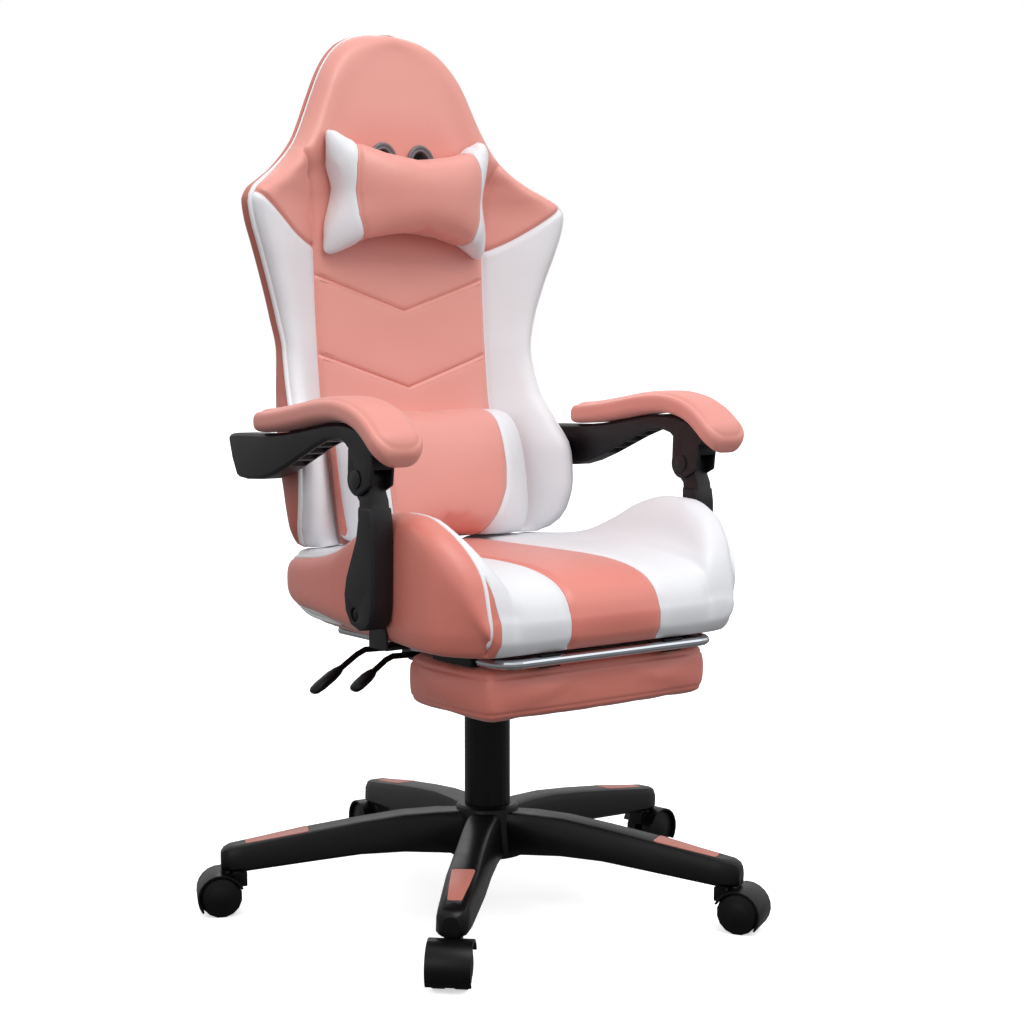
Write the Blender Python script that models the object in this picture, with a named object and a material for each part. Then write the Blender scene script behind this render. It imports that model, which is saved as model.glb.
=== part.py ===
"""Reclining gaming chair: five-star base, gas lift, bucket seat, linked armrests, pull-out footrest.

Metres, +Z up. The sitter faces -Y and the sitter's left is +X. Every shape is written in the
chair's own frame, whose Z axis is the gas lift's axis, and is then placed under a root empty
that stands at AXIS_X, AXIS_Y.
"""
import math

import bmesh
import bpy
from mathutils import Vector

# ---- driving dimensions -------------------------------------------------------------------
AXIS_X = -0.01178
AXIS_Y = -0.01844

BASE_TURN = -133.0          # bearing of the first base arm, degrees from +X
ARM_COUNT = 5
STEM_R = 0.343              # gas lift axis to caster stem
TRAIL = 0.024               # caster stem to wheel axle
WHEEL_R = 0.0275
HUB_TOP = 0.134
COVER_R = 0.0315            # lower stage of the column cover
LIFT_REST = -0.012          # rest height of everything the gas lift carries

P0 = (0.150, 0.455)         # recline hinge, (y, z)
P1 = (0.143, 0.622)         # rear armrest pivot on the backrest
P2 = (-0.117, 0.612)        # knuckle between armrest and post
P3 = (-0.110, 0.445)        # foot of the post on the seat
ARM_X = 0.2665              # centre of post and armrest
POST_W = 0.032
KNUCKLE_W = 0.0236
ARM_W = 0.035
KNUCKLE_R = 0.021
PAD_W = 0.072

PLATE_X0 = 0.2462           # upright plate that carries the post
PLATE_X1 = 0.2490
SEAT_BOTTOM = 0.3985
BOARD_TOP = 0.3980
BOARD_BOTTOM = 0.3850
TUBE_R = 0.006
TUBE_X = 0.172
TUBE_Y = -0.268
TUBE_Z = 0.3905
TUBE_REAR = 0.100
REST_X = 0.188
REST_Y0 = -0.255
REST_Y1 = -0.062
REST_Z0 = 0.317
REST_Z1 = 0.382

HINGE_R = 0.0058            # recline shaft
SHAFT_BORE_R = 0.0063       # its bore in the hinge frame
BOLT_BORE_R = 0.0053        # bore of the armrest bracket round its bolt
ROD_R = 0.0040              # lever rods
SLOT_X = 0.0330             # centre of a harness slot from the mid plane
SLOT_Z = 1.0300
SLOT_TILT = 0.10            # outward lean of a harness slot

PINK = (0.78, 0.30, 0.25, 1.0)
BLACK = (0.012, 0.012, 0.014, 1.0)
CHARCOAL = (0.025, 0.022, 0.027, 1.0)
STEEL = (0.45, 0.47, 0.50, 1.0)
GREY = (0.18, 0.18, 0.20, 1.0)


# ---- scene helpers ------------------------------------------------------------------------
def clear_scene():
    for item in list(bpy.data.objects):
        bpy.data.objects.remove(item, do_unlink=True)


def make_material(name, colour, roughness, metallic):
    mat = bpy.data.materials.new(name)
    mat.use_nodes = True
    shader = mat.node_tree.nodes["Principled BSDF"]
    shader.inputs["Base Color"].default_value = colour
    shader.inputs["Roughness"].default_value = roughness
    shader.inputs["Metallic"].default_value = metallic
    return mat


def solid(verts, faces):
    """A temporary object holding one closed mesh with its faces turned outward."""
    mesh = bpy.data.meshes.new("tmp")
    mesh.from_pydata([tuple(v) for v in verts], [], faces)
    work = bmesh.new()
    work.from_mesh(mesh)
    bmesh.ops.recalc_face_normals(work, faces=work.faces)
    work.to_mesh(mesh)
    work.free()
    item = bpy.data.objects.new("tmp", mesh)
    bpy.context.scene.collection.objects.link(item)
    return item


def combine(item, others, operation):
    """Boolean of item with each of the others, evaluated into item's own mesh."""
    for other in others:
        mod = item.modifiers.new("combine", "BOOLEAN")
        mod.operation = operation
        mod.solver = "EXACT"
        mod.object = other
        graph = bpy.context.evaluated_depsgraph_get()
        mesh = bpy.data.meshes.new_from_object(item.evaluated_get(graph))
        item.modifiers.clear()
        item.data = mesh
        bpy.data.objects.remove(other, do_unlink=True)
    work = bmesh.new()
    work.from_mesh(item.data)
    bmesh.ops.remove_doubles(work, verts=work.verts, dist=0.00002)
    bmesh.ops.dissolve_degenerate(work, edges=work.edges, dist=0.00001)
    bmesh.ops.recalc_face_normals(work, faces=work.faces)
    work.to_mesh(item.data)
    work.free()
    return item


def union(item, *others):
    return combine(item, others, "UNION")


def cut(item, *others):
    return combine(item, others, "DIFFERENCE")


# ---- shape helpers ------------------------------------------------------------------------
def loft(sections):
    """A closed solid through closed sections of equal point count, capped at both ends."""
    count = len(sections[0])
    verts = [p for section in sections for p in section]
    faces = []
    for i in range(len(sections) - 1):
        a = i * count
        b = a + count
        for j in range(count):
            k = (j + 1) % count
            faces.append((a + j, a + k, b + k))
            faces.append((a + j, b + k, b + j))
    faces.append(tuple(range(count))[::-1])
    last = (len(sections) - 1) * count
    faces.append(tuple(range(last, last + count)))
    return solid(verts, faces)


def revolve(profile, segments, centre=(0.0, 0.0, 0.0), axis="Z", closed=False, phase=0.5):
    """Turn (radius, height) points about an axis; open profiles start and end on the axis."""
    verts = []
    rings = []
    for radius, height in profile:
        if radius < 1e-7:
            rings.append([len(verts)])
            verts.append((0.0, 0.0, height))
            continue
        ring = []
        for s in range(segments):
            angle = 2.0 * math.pi * (s + phase) / segments
            ring.append(len(verts))
            verts.append((radius * math.cos(angle), radius * math.sin(angle), height))
        rings.append(ring)
    faces = []
    pairs = list(zip(rings, rings[1:]))
    if closed:
        pairs.append((rings[-1], rings[0]))
    for low, high in pairs:
        for s in range(segments):
            t = (s + 1) % segments
            if len(low) == 1 and len(high) == 1:
                continue
            if len(low) == 1:
                faces.append((low[0], high[t], high[s]))
            elif len(high) == 1:
                faces.append((low[s], low[t], high[0]))
            else:
                faces.append((low[s], low[t], high[t], high[s]))
    turned = []
    for x, y, z in verts:
        if axis == "X":
            x, y, z = z, x, y
        elif axis == "Y":
            x, y, z = y, z, x
        turned.append((x + centre[0], y + centre[1], z + centre[2]))
    return solid(turned, faces)


def cylinder(centre, radius, low, high, segments=16, axis="Z"):
    return revolve([(0.0, low), (radius, low), (radius, high), (0.0, high)], segments, centre, axis)


def box(x0, x1, y0, y1, z0, z1):
    flat = [(x0, y0), (x1, y0), (x1, y1), (x0, y1)]
    return loft([[(x, y, z) for x, y in flat] for z in (z0, z1)])


def inset(points, distance):
    """Move a counter-clockwise 2-D outline inward by a distance."""
    out = []
    count = len(points)
    for i in range(count):
        before = Vector(points[i - 1])
        here = Vector(points[i])
        after = Vector(points[(i + 1) % count])
        a = (here - before).normalized()
        b = (after - here).normalized()
        normal = Vector((-(a.y + b.y), a.x + b.x))
        if normal.length < 1e-9:
            out.append(tuple(here))
            continue
        normal.normalize()
        scale = max(0.5, normal.dot(Vector((-a.y, a.x))))
        out.append(tuple(here + normal * (distance / scale)))
    return out


def slab_x(outline, x0, x1, bevel=0.0):
    """Extrude a counter-clockwise (y, z) outline along X with bevelled ends."""
    if bevel <= 0.0:
        return loft([[(x, y, z) for y, z in outline] for x in (x0, x1)])
    small = inset(outline, bevel)
    steps = [(x0, small), (x0 + bevel, outline), (x1 - bevel, outline), (x1, small)]
    return loft([[(x, y, z) for y, z in shape] for x, shape in steps])


def rounded_rect(half_x, half_y, radius, per_corner=4):
    points = []
    for cx, cy, start in ((1, 1, 0), (-1, 1, 90), (-1, -1, 180), (1, -1, 270)):
        for i in range(per_corner):
            angle = math.radians(start + 90.0 * i / (per_corner - 1))
            x = cx * (half_x - radius) + radius * math.cos(angle)
            y = cy * (half_y - radius) + radius * math.sin(angle)
            points.append((x, y))
    return points


def arc(cy, cz, radius, start, end, count):
    out = []
    for i in range(count):
        angle = math.radians(start + (end - start) * i / (count - 1))
        out.append((cy + radius * math.cos(angle), cz + radius * math.sin(angle)))
    return out


def spline(table, t):
    """Smooth value at t through a table of (t, value) rows."""
    if t <= table[0][0]:
        return table[0][1]
    if t >= table[-1][0]:
        return table[-1][1]
    k = 0
    while table[k + 1][0] < t:
        k += 1

    def slope(i):
        if i == 0 or i == len(table) - 1:
            j = max(i, 1)
            return (table[j][1] - table[j - 1][1]) / (table[j][0] - table[j - 1][0])
        left = (table[i][1] - table[i - 1][1]) / (table[i][0] - table[i - 1][0])
        right = (table[i + 1][1] - table[i][1]) / (table[i + 1][0] - table[i][0])
        if left * right <= 0.0:
            return 0.0
        return 2.0 * left * right / (left + right)

    t0, v0 = table[k]
    t1, v1 = table[k + 1]
    h = t1 - t0
    u = (t - t0) / h
    a = 2 * u ** 3 - 3 * u ** 2 + 1
    b = u ** 3 - 2 * u ** 2 + u
    c = -2 * u ** 3 + 3 * u ** 2
    d = u ** 3 - u ** 2
    return a * v0 + b * h * slope(k) + c * v1 + d * h * slope(k + 1)


def sweep(path, sizes, segments, upright=Vector((0.0, 0.0, 1.0))):
    """A bar along a path; sizes gives (half width, half height) at each path point."""
    sections = []
    for i, point in enumerate(path):
        here = Vector(point)
        before = Vector(path[max(i - 1, 0)])
        after = Vector(path[min(i + 1, len(path) - 1)])
        along = (after - before).normalized()
        side = along.cross(upright).normalized()
        lift = side.cross(along).normalized()
        wide, high = sizes[i]
        ring = []
        for s in range(segments):
            angle = 2.0 * math.pi * (s + 0.5) / segments
            ring.append(here + side * (wide * math.cos(angle)) + lift * (high * math.sin(angle)))
        sections.append(ring)
    return loft(sections)


# ---- bodies -------------------------------------------------------------------------------
EMPTIES = {}


def make_body(name, parent, position):
    empty = bpy.data.objects.new("axis_" + name, None)
    bpy.context.scene.collection.objects.link(empty)
    origin = Vector((0.0, 0.0, 0.0))
    if parent is not None:
        empty.parent = EMPTIES[parent][0]
        origin = EMPTIES[parent][1]
    empty.location = Vector(position) - origin
    EMPTIES[name] = (empty, Vector(position))


def place(item, name, body, material, angle=35.0):
    """Name a finished solid, put its origin on its body's axis and shade it."""
    empty, origin = EMPTIES[body]
    item.name = name
    item.data.name = name
    for vert in item.data.vertices:
        vert.co = vert.co - origin
    item.parent = empty
    item.data.materials.clear()
    item.data.materials.append(material)
    for face in item.data.polygons:
        face.material_index = 0
    item.data.shade_smooth()
    item.data.set_sharp_from_angle(angle=math.radians(angle))
    return item


# ---- base, casters and lift ---------------------------------------------------------------
ARM_TOP = [(0.028, 0.126), (0.05, 0.1280), (0.10, 0.1275), (0.16, 0.1220), (0.22, 0.1140),
           (0.28, 0.1050), (0.345, 0.0945), (0.366, 0.0915)]
ARM_LOW = [(0.028, 0.068), (0.05, 0.070), (0.10, 0.0765), (0.16, 0.0770), (0.22, 0.0730),
           (0.28, 0.0665), (0.345, 0.0605), (0.366, 0.0605)]
ARM_WIDE_TOP = [(0.028, 0.040), (0.06, 0.040), (0.15, 0.038), (0.25, 0.040), (0.345, 0.034),
                (0.366, 0.030)]
ARM_WIDE_LOW = [(0.028, 0.054), (0.06, 0.058), (0.15, 0.055), (0.25, 0.053), (0.345, 0.042),
                (0.366, 0.036)]
ARM_STATIONS = (0.028, 0.07, 0.12, 0.18, 0.245, 0.335, 0.354, 0.362, 0.366)


def arm_frame(index):
    angle = math.radians(BASE_TURN + index * 360.0 / ARM_COUNT)
    along = Vector((math.cos(angle), math.sin(angle), 0.0))
    across = Vector((-math.sin(angle), math.cos(angle), 0.0))
    return along, across


def arm_point(index, r, t, z):
    along, across = arm_frame(index)
    return along * r + across * t + Vector((0.0, 0.0, z))


def linear_top(r):
    """Height of the faceted arm top between its loft stations."""
    for a, b in zip(ARM_STATIONS, ARM_STATIONS[1:]):
        if a <= r <= b:
            u = (r - a) / (b - a)
            return spline(ARM_TOP, a) * (1 - u) + spline(ARM_TOP, b) * u
    return spline(ARM_TOP, r)


def base_arm(index):
    sections = []
    for r in ARM_STATIONS:
        top = spline(ARM_TOP, r)
        low = spline(ARM_LOW, r)
        wt = spline(ARM_WIDE_TOP, r) / 2
        wl = spline(ARM_WIDE_LOW, r) / 2
        if r > 0.36:
            k = 0.80 if r < 0.364 else 0.55
            wt = wt * k
            wl = wl * k
            top -= 0.002 if r < 0.364 else 0.006
        shape = [(-wl + 0.003, low), (wl - 0.003, low), (wl, low + 0.004), (wt + 0.003, top - 0.011),
                 (wt - 0.001, top - 0.002), (wt - 0.006, top), (-wt + 0.006, top),
                 (-wt + 0.001, top - 0.002), (-wt - 0.003, top - 0.011), (-wl, low + 0.004)]
        sections.append([arm_point(index, r, t, z) for t, z in shape])
    return loft(sections)


def arm_hollow(index):
    """The open trough under a base arm, between the hub and the caster boss."""
    sections = []
    for r in (0.075, 0.15, 0.22, 0.322):
        top = spline(ARM_TOP, r) - 0.007
        low = spline(ARM_LOW, r) - 0.010
        wt = spline(ARM_WIDE_TOP, r) / 2 - 0.006
        wl = spline(ARM_WIDE_LOW, r) / 2 - 0.005
        shape = [(-wl, low), (wl, low), (wt, top), (-wt, top)]
        sections.append([arm_point(index, r, t, z) for t, z in shape])
    return loft(sections)


def inlay_shape(index, grow, low, high):
    """The tapered coloured insert in the top of an arm."""
    rows = [(0.2480, 0.0125), (0.2510, 0.0150), (0.2900, 0.0128), (0.3310, 0.0092), (0.3335, 0.0070)]
    sections = []
    for i, (r, half) in enumerate(rows):
        if i == 0:
            r -= grow
        if i == len(rows) - 1:
            r += grow
        top = linear_top(r)
        half += grow
        ring = [(-half, top + low), (half, top + low), (half, top + high), (-half, top + high)]
        sections.append([arm_point(index, r, t, z) for t, z in ring])
    return loft(sections)


def build_base(black, pink):
    hub = revolve([(0.0235, HUB_TOP), (0.0400, HUB_TOP), (0.0430, 0.1310), (0.0450, 0.1170),
                   (0.0530, 0.0740), (0.0530, 0.0660), (0.0235, 0.0660)], 30, closed=True)
    union(hub, *[base_arm(i) for i in range(ARM_COUNT)])
    cutters = []
    for i in range(ARM_COUNT):
        cutters.append(arm_hollow(i))
        cutters.append(inlay_shape(i, 0.0004, -0.0022, 0.0060))
        centre = arm_point(i, STEM_R, 0.0, 0.0)
        cutters.append(cylinder(centre, 0.0060, 0.050, 0.0840, 10))
    cut(hub, *cutters)
    place(hub, "base_star", "base", black, 30.0)
    for i in range(ARM_COUNT):
        place(inlay_shape(i, 0.0, -0.0018, 0.0005), "base_inlay_%d" % (i + 1), "base", pink)


def local_slab(index, outline, half):
    """Extrude an outline given in (radial from the axle, height) across the wheel axle."""
    sections = []
    for v in (-half, half):
        sections.append([arm_point(index, STEM_R + TRAIL + u, v, z) for u, z in outline])
    return loft(sections)


def build_caster(index, black, wheel_mat):
    number = index + 1
    stem = arm_point(index, STEM_R, 0.0, 0.0)
    axle = arm_point(index, STEM_R + TRAIL, 0.0, WHEEL_R)
    make_body("caster_%d" % number, "base", stem)
    make_body("wheel_%d" % number, "caster_%d" % number, axle)
    fender = local_slab(index, arc(0.0, WHEEL_R, 0.0315, -38.0, 158.0, 13)
                        + arc(0.0, WHEEL_R, 0.0288, 158.0, -38.0, 9), 0.0278)
    web = local_slab(index, arc(0.0, WHEEL_R, 0.0300, -30.0, 150.0, 7)
                     + arc(0.0, WHEEL_R, 0.0105, 195.0, 315.0, 4), 0.0040)
    gusset = local_slab(index, [(-0.0355, 0.0560), (-0.0355, 0.0380)]
                        + arc(0.0, WHEEL_R, 0.0298, 160.0, 112.0, 5) + [(-0.0120, 0.0560)], 0.0105)
    boss = cylinder(stem, 0.0115, 0.0540, 0.0594, 14)
    pin = cylinder(stem, 0.0055, 0.0560, 0.0820, 10)
    union(fender, web, gusset, boss, pin)
    hole = wheel_solid(index, [(0.0, -0.012), (0.0042, -0.012), (0.0042, 0.012), (0.0, 0.012)], 10)
    cut(fender, hole)
    place(fender, "caster_fork_%d" % number, "caster_%d" % number, black, 40.0)
    half = [(0.0, 0.0268), (0.0135, 0.0258), (0.0170, 0.0240), (0.0235, 0.0240), (WHEEL_R, 0.0215),
            (WHEEL_R, 0.0062), (0.0036, 0.0050)]
    profile = half + [(r, -v) for r, v in reversed(half)]
    wheel = wheel_solid(index, profile, 16)
    place(wheel, "caster_wheels_%d" % number, "wheel_%d" % number, wheel_mat, 30.0)


def wheel_solid(index, profile, segments):
    """Revolve about a caster's axle with a facet straight down on the floor."""
    along, across = arm_frame(index)
    centre = arm_point(index, STEM_R + TRAIL, 0.0, WHEEL_R)
    item = revolve(profile, segments)
    grow = 1.0 / math.cos(math.pi / segments)
    for vert in item.data.vertices:
        x, y, z = vert.co
        vert.co = centre + along * (y * grow) - Vector((0.0, 0.0, 1.0)) * (x * grow) + across * z
    work = bmesh.new()
    work.from_mesh(item.data)
    bmesh.ops.recalc_face_normals(work, faces=work.faces)
    work.to_mesh(item.data)
    work.free()
    return item


def tube_profile(inner, outer, low, high, edge=0.0012):
    return [(inner, low), (outer, low), (outer, high - edge), (outer - edge, high), (inner, high)]


def build_lift(black, steel):
    lower = revolve(tube_profile(0.0290, COVER_R, HUB_TOP + 0.0005, 0.3090), 32, closed=True)
    place(lower, "cover_lower", "base", black)
    gas = revolve([(0.0, 0.0600), (0.0200, 0.0600), (0.0229, 0.0660), (0.0229, 0.2960),
                   (0.0150, 0.2960), (0.0150, 0.0780), (0.0, 0.0780)], 20)
    place(gas, "gas_cylinder", "base", steel)
    middle = revolve(tube_profile(0.0266, 0.0283, 0.1380, 0.3120), 24, closed=True)
    place(middle, "cover_middle", "cover_mid", black)
    upper = revolve(tube_profile(0.0237, 0.0258, 0.1550, 0.3370), 24, closed=True)
    place(upper, "cover_upper", "lift", black)
    rod = revolve([(0.0, 0.1500), (0.0120, 0.1500), (0.0140, 0.1520), (0.0140, 0.3480),
                   (0.0125, 0.3680), (0.0, 0.3680)], 20)
    place(rod, "piston_rod", "lift", steel)


# ---- seat ---------------------------------------------------------------------------------
SEAT_W = [(-0.276, 0.203), (-0.271, 0.216), (-0.260, 0.2280), (-0.240, 0.2385), (-0.210, 0.2460),
          (-0.170, 0.2485), (-0.130, 0.2453), (-0.080, 0.2452), (-0.030, 0.2440), (0.030, 0.2400),
          (0.090, 0.2330), (0.130, 0.2270), (0.163, 0.2190), (0.180, 0.2060), (0.190, 0.1900)]
SEAT_CREST = [(-0.276, 0.448), (-0.271, 0.472), (-0.260, 0.500), (-0.240, 0.527), (-0.210, 0.552),
              (-0.170, 0.568), (-0.130, 0.5695), (-0.080, 0.558), (-0.030, 0.534), (0.030, 0.511),
              (0.090, 0.502), (0.130, 0.4995), (0.163, 0.4972), (0.180, 0.486), (0.190, 0.471)]
SEAT_MID = [(-0.276, 0.444), (-0.271, 0.458), (-0.260, 0.473), (-0.240, 0.4855), (-0.210, 0.4940),
            (-0.170, 0.4985), (-0.120, 0.500), (0.130, 0.4995), (0.163, 0.4972), (0.180, 0.486),
            (0.190, 0.471)]
SEAT_LOW = [(-0.276, 0.414), (-0.271, 0.404), (-0.260, SEAT_BOTTOM), (0.110, SEAT_BOTTOM),
            (0.130, 0.4010), (0.163, 0.4120), (0.180, 0.4250), (0.190, 0.4400)]
SEAT_SIDE_LIFT = [(-0.276, 0.0), (-0.200, 0.003), (-0.100, 0.009), (0.0, 0.014), (0.100, 0.018),
                  (0.190, 0.006)]
SEAT_STATIONS = (-0.276, -0.271, -0.260, -0.240, -0.210, -0.170, -0.120, -0.080, -0.030, 0.030,
                 0.090, 0.130, 0.163, 0.180, 0.190)


def seat_section(y):
    wide = spline(SEAT_W, y)
    crest = spline(SEAT_CREST, y)
    mid = spline(SEAT_MID, y)
    low = spline(SEAT_LOW, y)
    rise = crest - mid
    k = wide / 0.2485
    edge = min(0.030, (crest - low) * 0.35)
    side = low + spline(SEAT_SIDE_LIFT, y)
    half = [(0.120 * k, mid), (0.155 * k, mid + rise * 0.08), (0.178 * k, mid + rise * 0.45),
            (0.196 * k, mid + rise * 0.86), (0.214 * k, crest), (wide - 0.014, crest - edge * 0.25),
            (wide - 0.003, crest - edge), (wide, (crest + low) * 0.5), (wide - 0.002, side + edge * 0.5),
            (wide - 0.012, side + 0.002), (wide - 0.040, low)]
    right = [(x, y, z) for x, z in half]
    left = [(-x, y, z) for x, z in reversed(half)]
    return right + left


def build_seat(pink, black, steel):
    cushion = loft([seat_section(y) for y in SEAT_STATIONS])
    grooves = [box(*sorted((side * 0.1040, side * 0.30)), -0.1325, -0.0875, 0.37, 0.4030)
               for side in (-1, 1)]
    cut(cushion, box(-0.072, 0.072, 0.118, 0.30, 0.35, 0.60), *grooves)
    place(cushion, "seat_cushion", "seat", pink, 50.0)

    plan = [(x, y - 0.0235) for x, y in rounded_rect(0.152, 0.1715, 0.030, 4)]
    board = loft([[(x, y, z) for x, y in plan] for z in (BOARD_BOTTOM, BOARD_TOP)])
    place(board, "seat_board", "seat", black)

    plan = rounded_rect(0.078, 0.078, 0.007, 3)
    small = rounded_rect(0.070, 0.070, 0.006, 3)
    rows = ((0.3400, small), (0.3480, plan), (0.3846, plan))
    housing = loft([[(x, y + 0.022, z) for x, y in shape] for z, shape in rows])
    bore = revolve([(0.0, 0.30), (0.0144, 0.30), (0.0144, 0.3482), (0.0129, 0.3685), (0.0, 0.3685)], 20)
    slots = [box(-0.090, -0.056, y - 0.0068, y + 0.0068, 0.3620, 0.3800) for y in (LEVER_Y1, LEVER_Y2)]
    cut(housing, bore, *slots)
    place(housing, "mechanism_housing", "seat", black)

    flat = box(-0.0655, 0.0655, 0.1200, 0.1480, 0.3984, 0.4024)
    lugs = []
    for side in (-1, 1):
        outline = [(0.1200, 0.3990)] + [(0.1480, 0.3990)] + arc(P0[0], P0[1], 0.0135, -30, 200, 9)
        a, b = sorted((side * 0.0595, side * 0.0655))
        lugs.append(slab_x(outline, a, b))
    union(flat, *lugs)
    cut(flat, cylinder((0.0, P0[0], P0[1]), SHAFT_BORE_R, -0.08, 0.08, 16, "X"))
    place(flat, "hinge_frame", "seat", steel)
    shaft = cylinder((0.0, P0[0], P0[1]), HINGE_R, -0.0690, 0.0690, 16, "X")
    place(shaft, "recline_shaft", "seat", steel)

    for side, tag in ((-1, "r"), (1, "l")):
        strap = box(*sorted((side * 0.1050, side * PLATE_X1)), -0.1300, -0.0900, 0.3984, 0.4024)
        outline = [(-0.1300, 0.3984), (-0.0900, 0.3984)] + arc(P3[0], P3[1], 0.0190, -10, 190, 8)
        plate = slab_x(outline, *sorted((side * PLATE_X0, side * PLATE_X1)))
        union(strap, plate)
        span = sorted((side * 0.20, side * 0.30))
        cut(strap, cylinder((0.0, P3[0], P3[1]), BOLT_BORE_R, span[0], span[1], 16, "X"))
        place(strap, "arm_bracket_" + tag, "seat", black)
        bolt = revolve([(0.0, 0.2464), (0.0049, 0.2464), (0.0049, 0.2786), (0.0085, 0.2786),
                        (0.0080, 0.2806), (0.0040, 0.2814), (0.0, 0.2814)],
                       14, (0.0, P3[0], P3[1]), "X")
        if side < 0:
            mirror_x(bolt)
        place(bolt, "post_bolt_" + tag, "seat", black)

    for side, tag in ((-1, "r"), (1, "l")):
        guide = box(*sorted((side * 0.1526, side * 0.1825)), -0.2150, -0.1340, 0.3826, BOARD_TOP)
        cut(guide, cylinder((side * TUBE_X, 0.0, TUBE_Z), 0.0064, -0.30, 0.0, 16, "Y"))
        place(guide, "footrest_guide_" + tag, "seat", black)


def mirror_x(item):
    for vert in item.data.vertices:
        vert.co.x = -vert.co.x
    work = bmesh.new()
    work.from_mesh(item.data)
    bmesh.ops.recalc_face_normals(work, faces=work.faces)
    work.to_mesh(item.data)
    work.free()
    return item


# ---- levers -------------------------------------------------------------------------------
LEVER_Y1 = 0.020
LEVER_Y2 = -0.046


def build_lever(name, body, y, tip, material):
    """A round rod that leaves the mechanism level and slopes down to a flat paddle."""
    bend = Vector((-0.1900, y, 0.3745))
    end = Vector(tip)
    along = end - bend
    rows = ((0.10, ROD_R, ROD_R), (0.42, 0.0042, ROD_R), (0.50, 0.0080, 0.0056),
            (0.62, 0.0102, 0.0068), (0.86, 0.0104, 0.0066), (0.96, 0.0094, 0.0052),
            (1.0, 0.0062, 0.0032))
    path = [Vector((-0.0600, y, 0.3710)), Vector((-0.1500, y, 0.3735)), Vector((-0.1850, y, 0.3747))]
    path += [bend + along * k for k, wide, high in rows]
    sizes = [(ROD_R, ROD_R)] * 3 + [(wide, high) for k, wide, high in rows]
    place(sweep(path, sizes, 12), name, body, material)


# ---- footrest -----------------------------------------------------------------------------
def build_footrest(pink, steel):
    path = [(-TUBE_X, TUBE_REAR), (-TUBE_X, TUBE_Y + 0.030)]
    for cx, start in ((-1, 180), (1, 270)):
        for i in range(5):
            angle = math.radians(start + 22.5 * i)
            path.append((cx * (TUBE_X - 0.026) + 0.026 * math.cos(angle),
                         TUBE_Y + 0.026 + 0.026 * math.sin(angle)))
    path += [(TUBE_X, TUBE_Y + 0.030), (TUBE_X, TUBE_REAR)]
    tube = sweep([(x, y, TUBE_Z) for x, y in path], [(TUBE_R, TUBE_R)] * len(path), 14)
    place(tube, "footrest_tube", "footrest_slide", steel)

    cy = (REST_Y0 + REST_Y1) / 2
    hy = (REST_Y1 - REST_Y0) / 2
    rows = ((REST_Z0, 0.010), (REST_Z0 + 0.003, 0.004), (REST_Z0 + 0.010, 0.0),
            (REST_Z1 - 0.010, 0.0), (REST_Z1 - 0.003, 0.003), (REST_Z1, 0.008))
    sections = []
    for z, pull in rows:
        plan = rounded_rect(REST_X - pull, hy - pull, 0.026 - pull * 0.5, 5)
        sections.append([(x, y + cy, z) for x, y in plan])
    place(loft(sections), "footrest_pad", "footrest_flip", pink, 50.0)

    for side, tag in ((-1, "r"), (1, "l")):
        x0, x1 = sorted((side * 0.085, side * 0.115))
        clip = arc(TUBE_Y, TUBE_Z, 0.0082, -30, 112, 7) + arc(TUBE_Y, TUBE_Z, 0.0064, 112, -95, 9)
        tail = [(TUBE_Y - 0.0006, 0.3823), (-0.2080, 0.3823), (-0.2080, 0.3843), (-0.2560, 0.3843)]
        loop = slab_x(clip + tail, x0, x1)
        place(loop, "footrest_hinge_" + tag, "footrest_flip", steel)


# ---- armrests -----------------------------------------------------------------------------
ARM_EDGE = [(0.2040, 0.6560, 0.6440), (0.1960, 0.6575, 0.6200), (0.1840, 0.6585, 0.5990),
            (0.1600, 0.6590, 0.5970), (0.1200, 0.6595, 0.5990), (0.0900, 0.6605, 0.6060),
            (0.0550, 0.6635, 0.6180), (0.0200, 0.6680, 0.6320), (-0.0150, 0.6730, 0.6460),
            (-0.0450, 0.6775, 0.6560), (-0.0700, 0.6795, 0.6590), (-0.0900, 0.6795, 0.6540),
            (-0.1080, 0.6770, 0.6400), (-0.1250, 0.6730, 0.6340), (-0.1420, 0.6655, 0.6350),
            (-0.1580, 0.6540, 0.6400), (-0.1690, 0.6445, 0.6360)]
PAD_LINE = [(0.1180, 0.6602), (0.1150, 0.6602), (0.1040, 0.6604), (0.0600, 0.6636), (0.0100, 0.6700),
            (-0.0350, 0.6768), (-0.0620, 0.6796), (-0.0880, 0.6802), (-0.1080, 0.6778),
            (-0.1260, 0.6734), (-0.1430, 0.6656), (-0.1590, 0.6540), (-0.1740, 0.6412),
            (-0.1840, 0.6326), (-0.1880, 0.6290)]
PAD_SCALE = (0.50, 0.78, 0.98, 1.0, 1.0, 1.0, 1.0, 1.0, 1.0, 1.0, 1.0, 1.0, 0.96, 0.80, 0.56)


def post_outline():
    return [(-0.1480, 0.5780), (-0.1510, 0.5600), (-0.1515, 0.5300), (-0.1510, 0.4900),
            (-0.1500, 0.4560), (-0.1460, 0.4380), (-0.1360, 0.4280), (-0.1170, 0.4250),
            (-0.0990, 0.4305), (-0.0870, 0.4470), (-0.0840, 0.4680), (-0.0890, 0.4900),
            (-0.1000, 0.5130), (-0.1120, 0.5380), (-0.1170, 0.5620), (-0.1170, 0.5780)]


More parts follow.
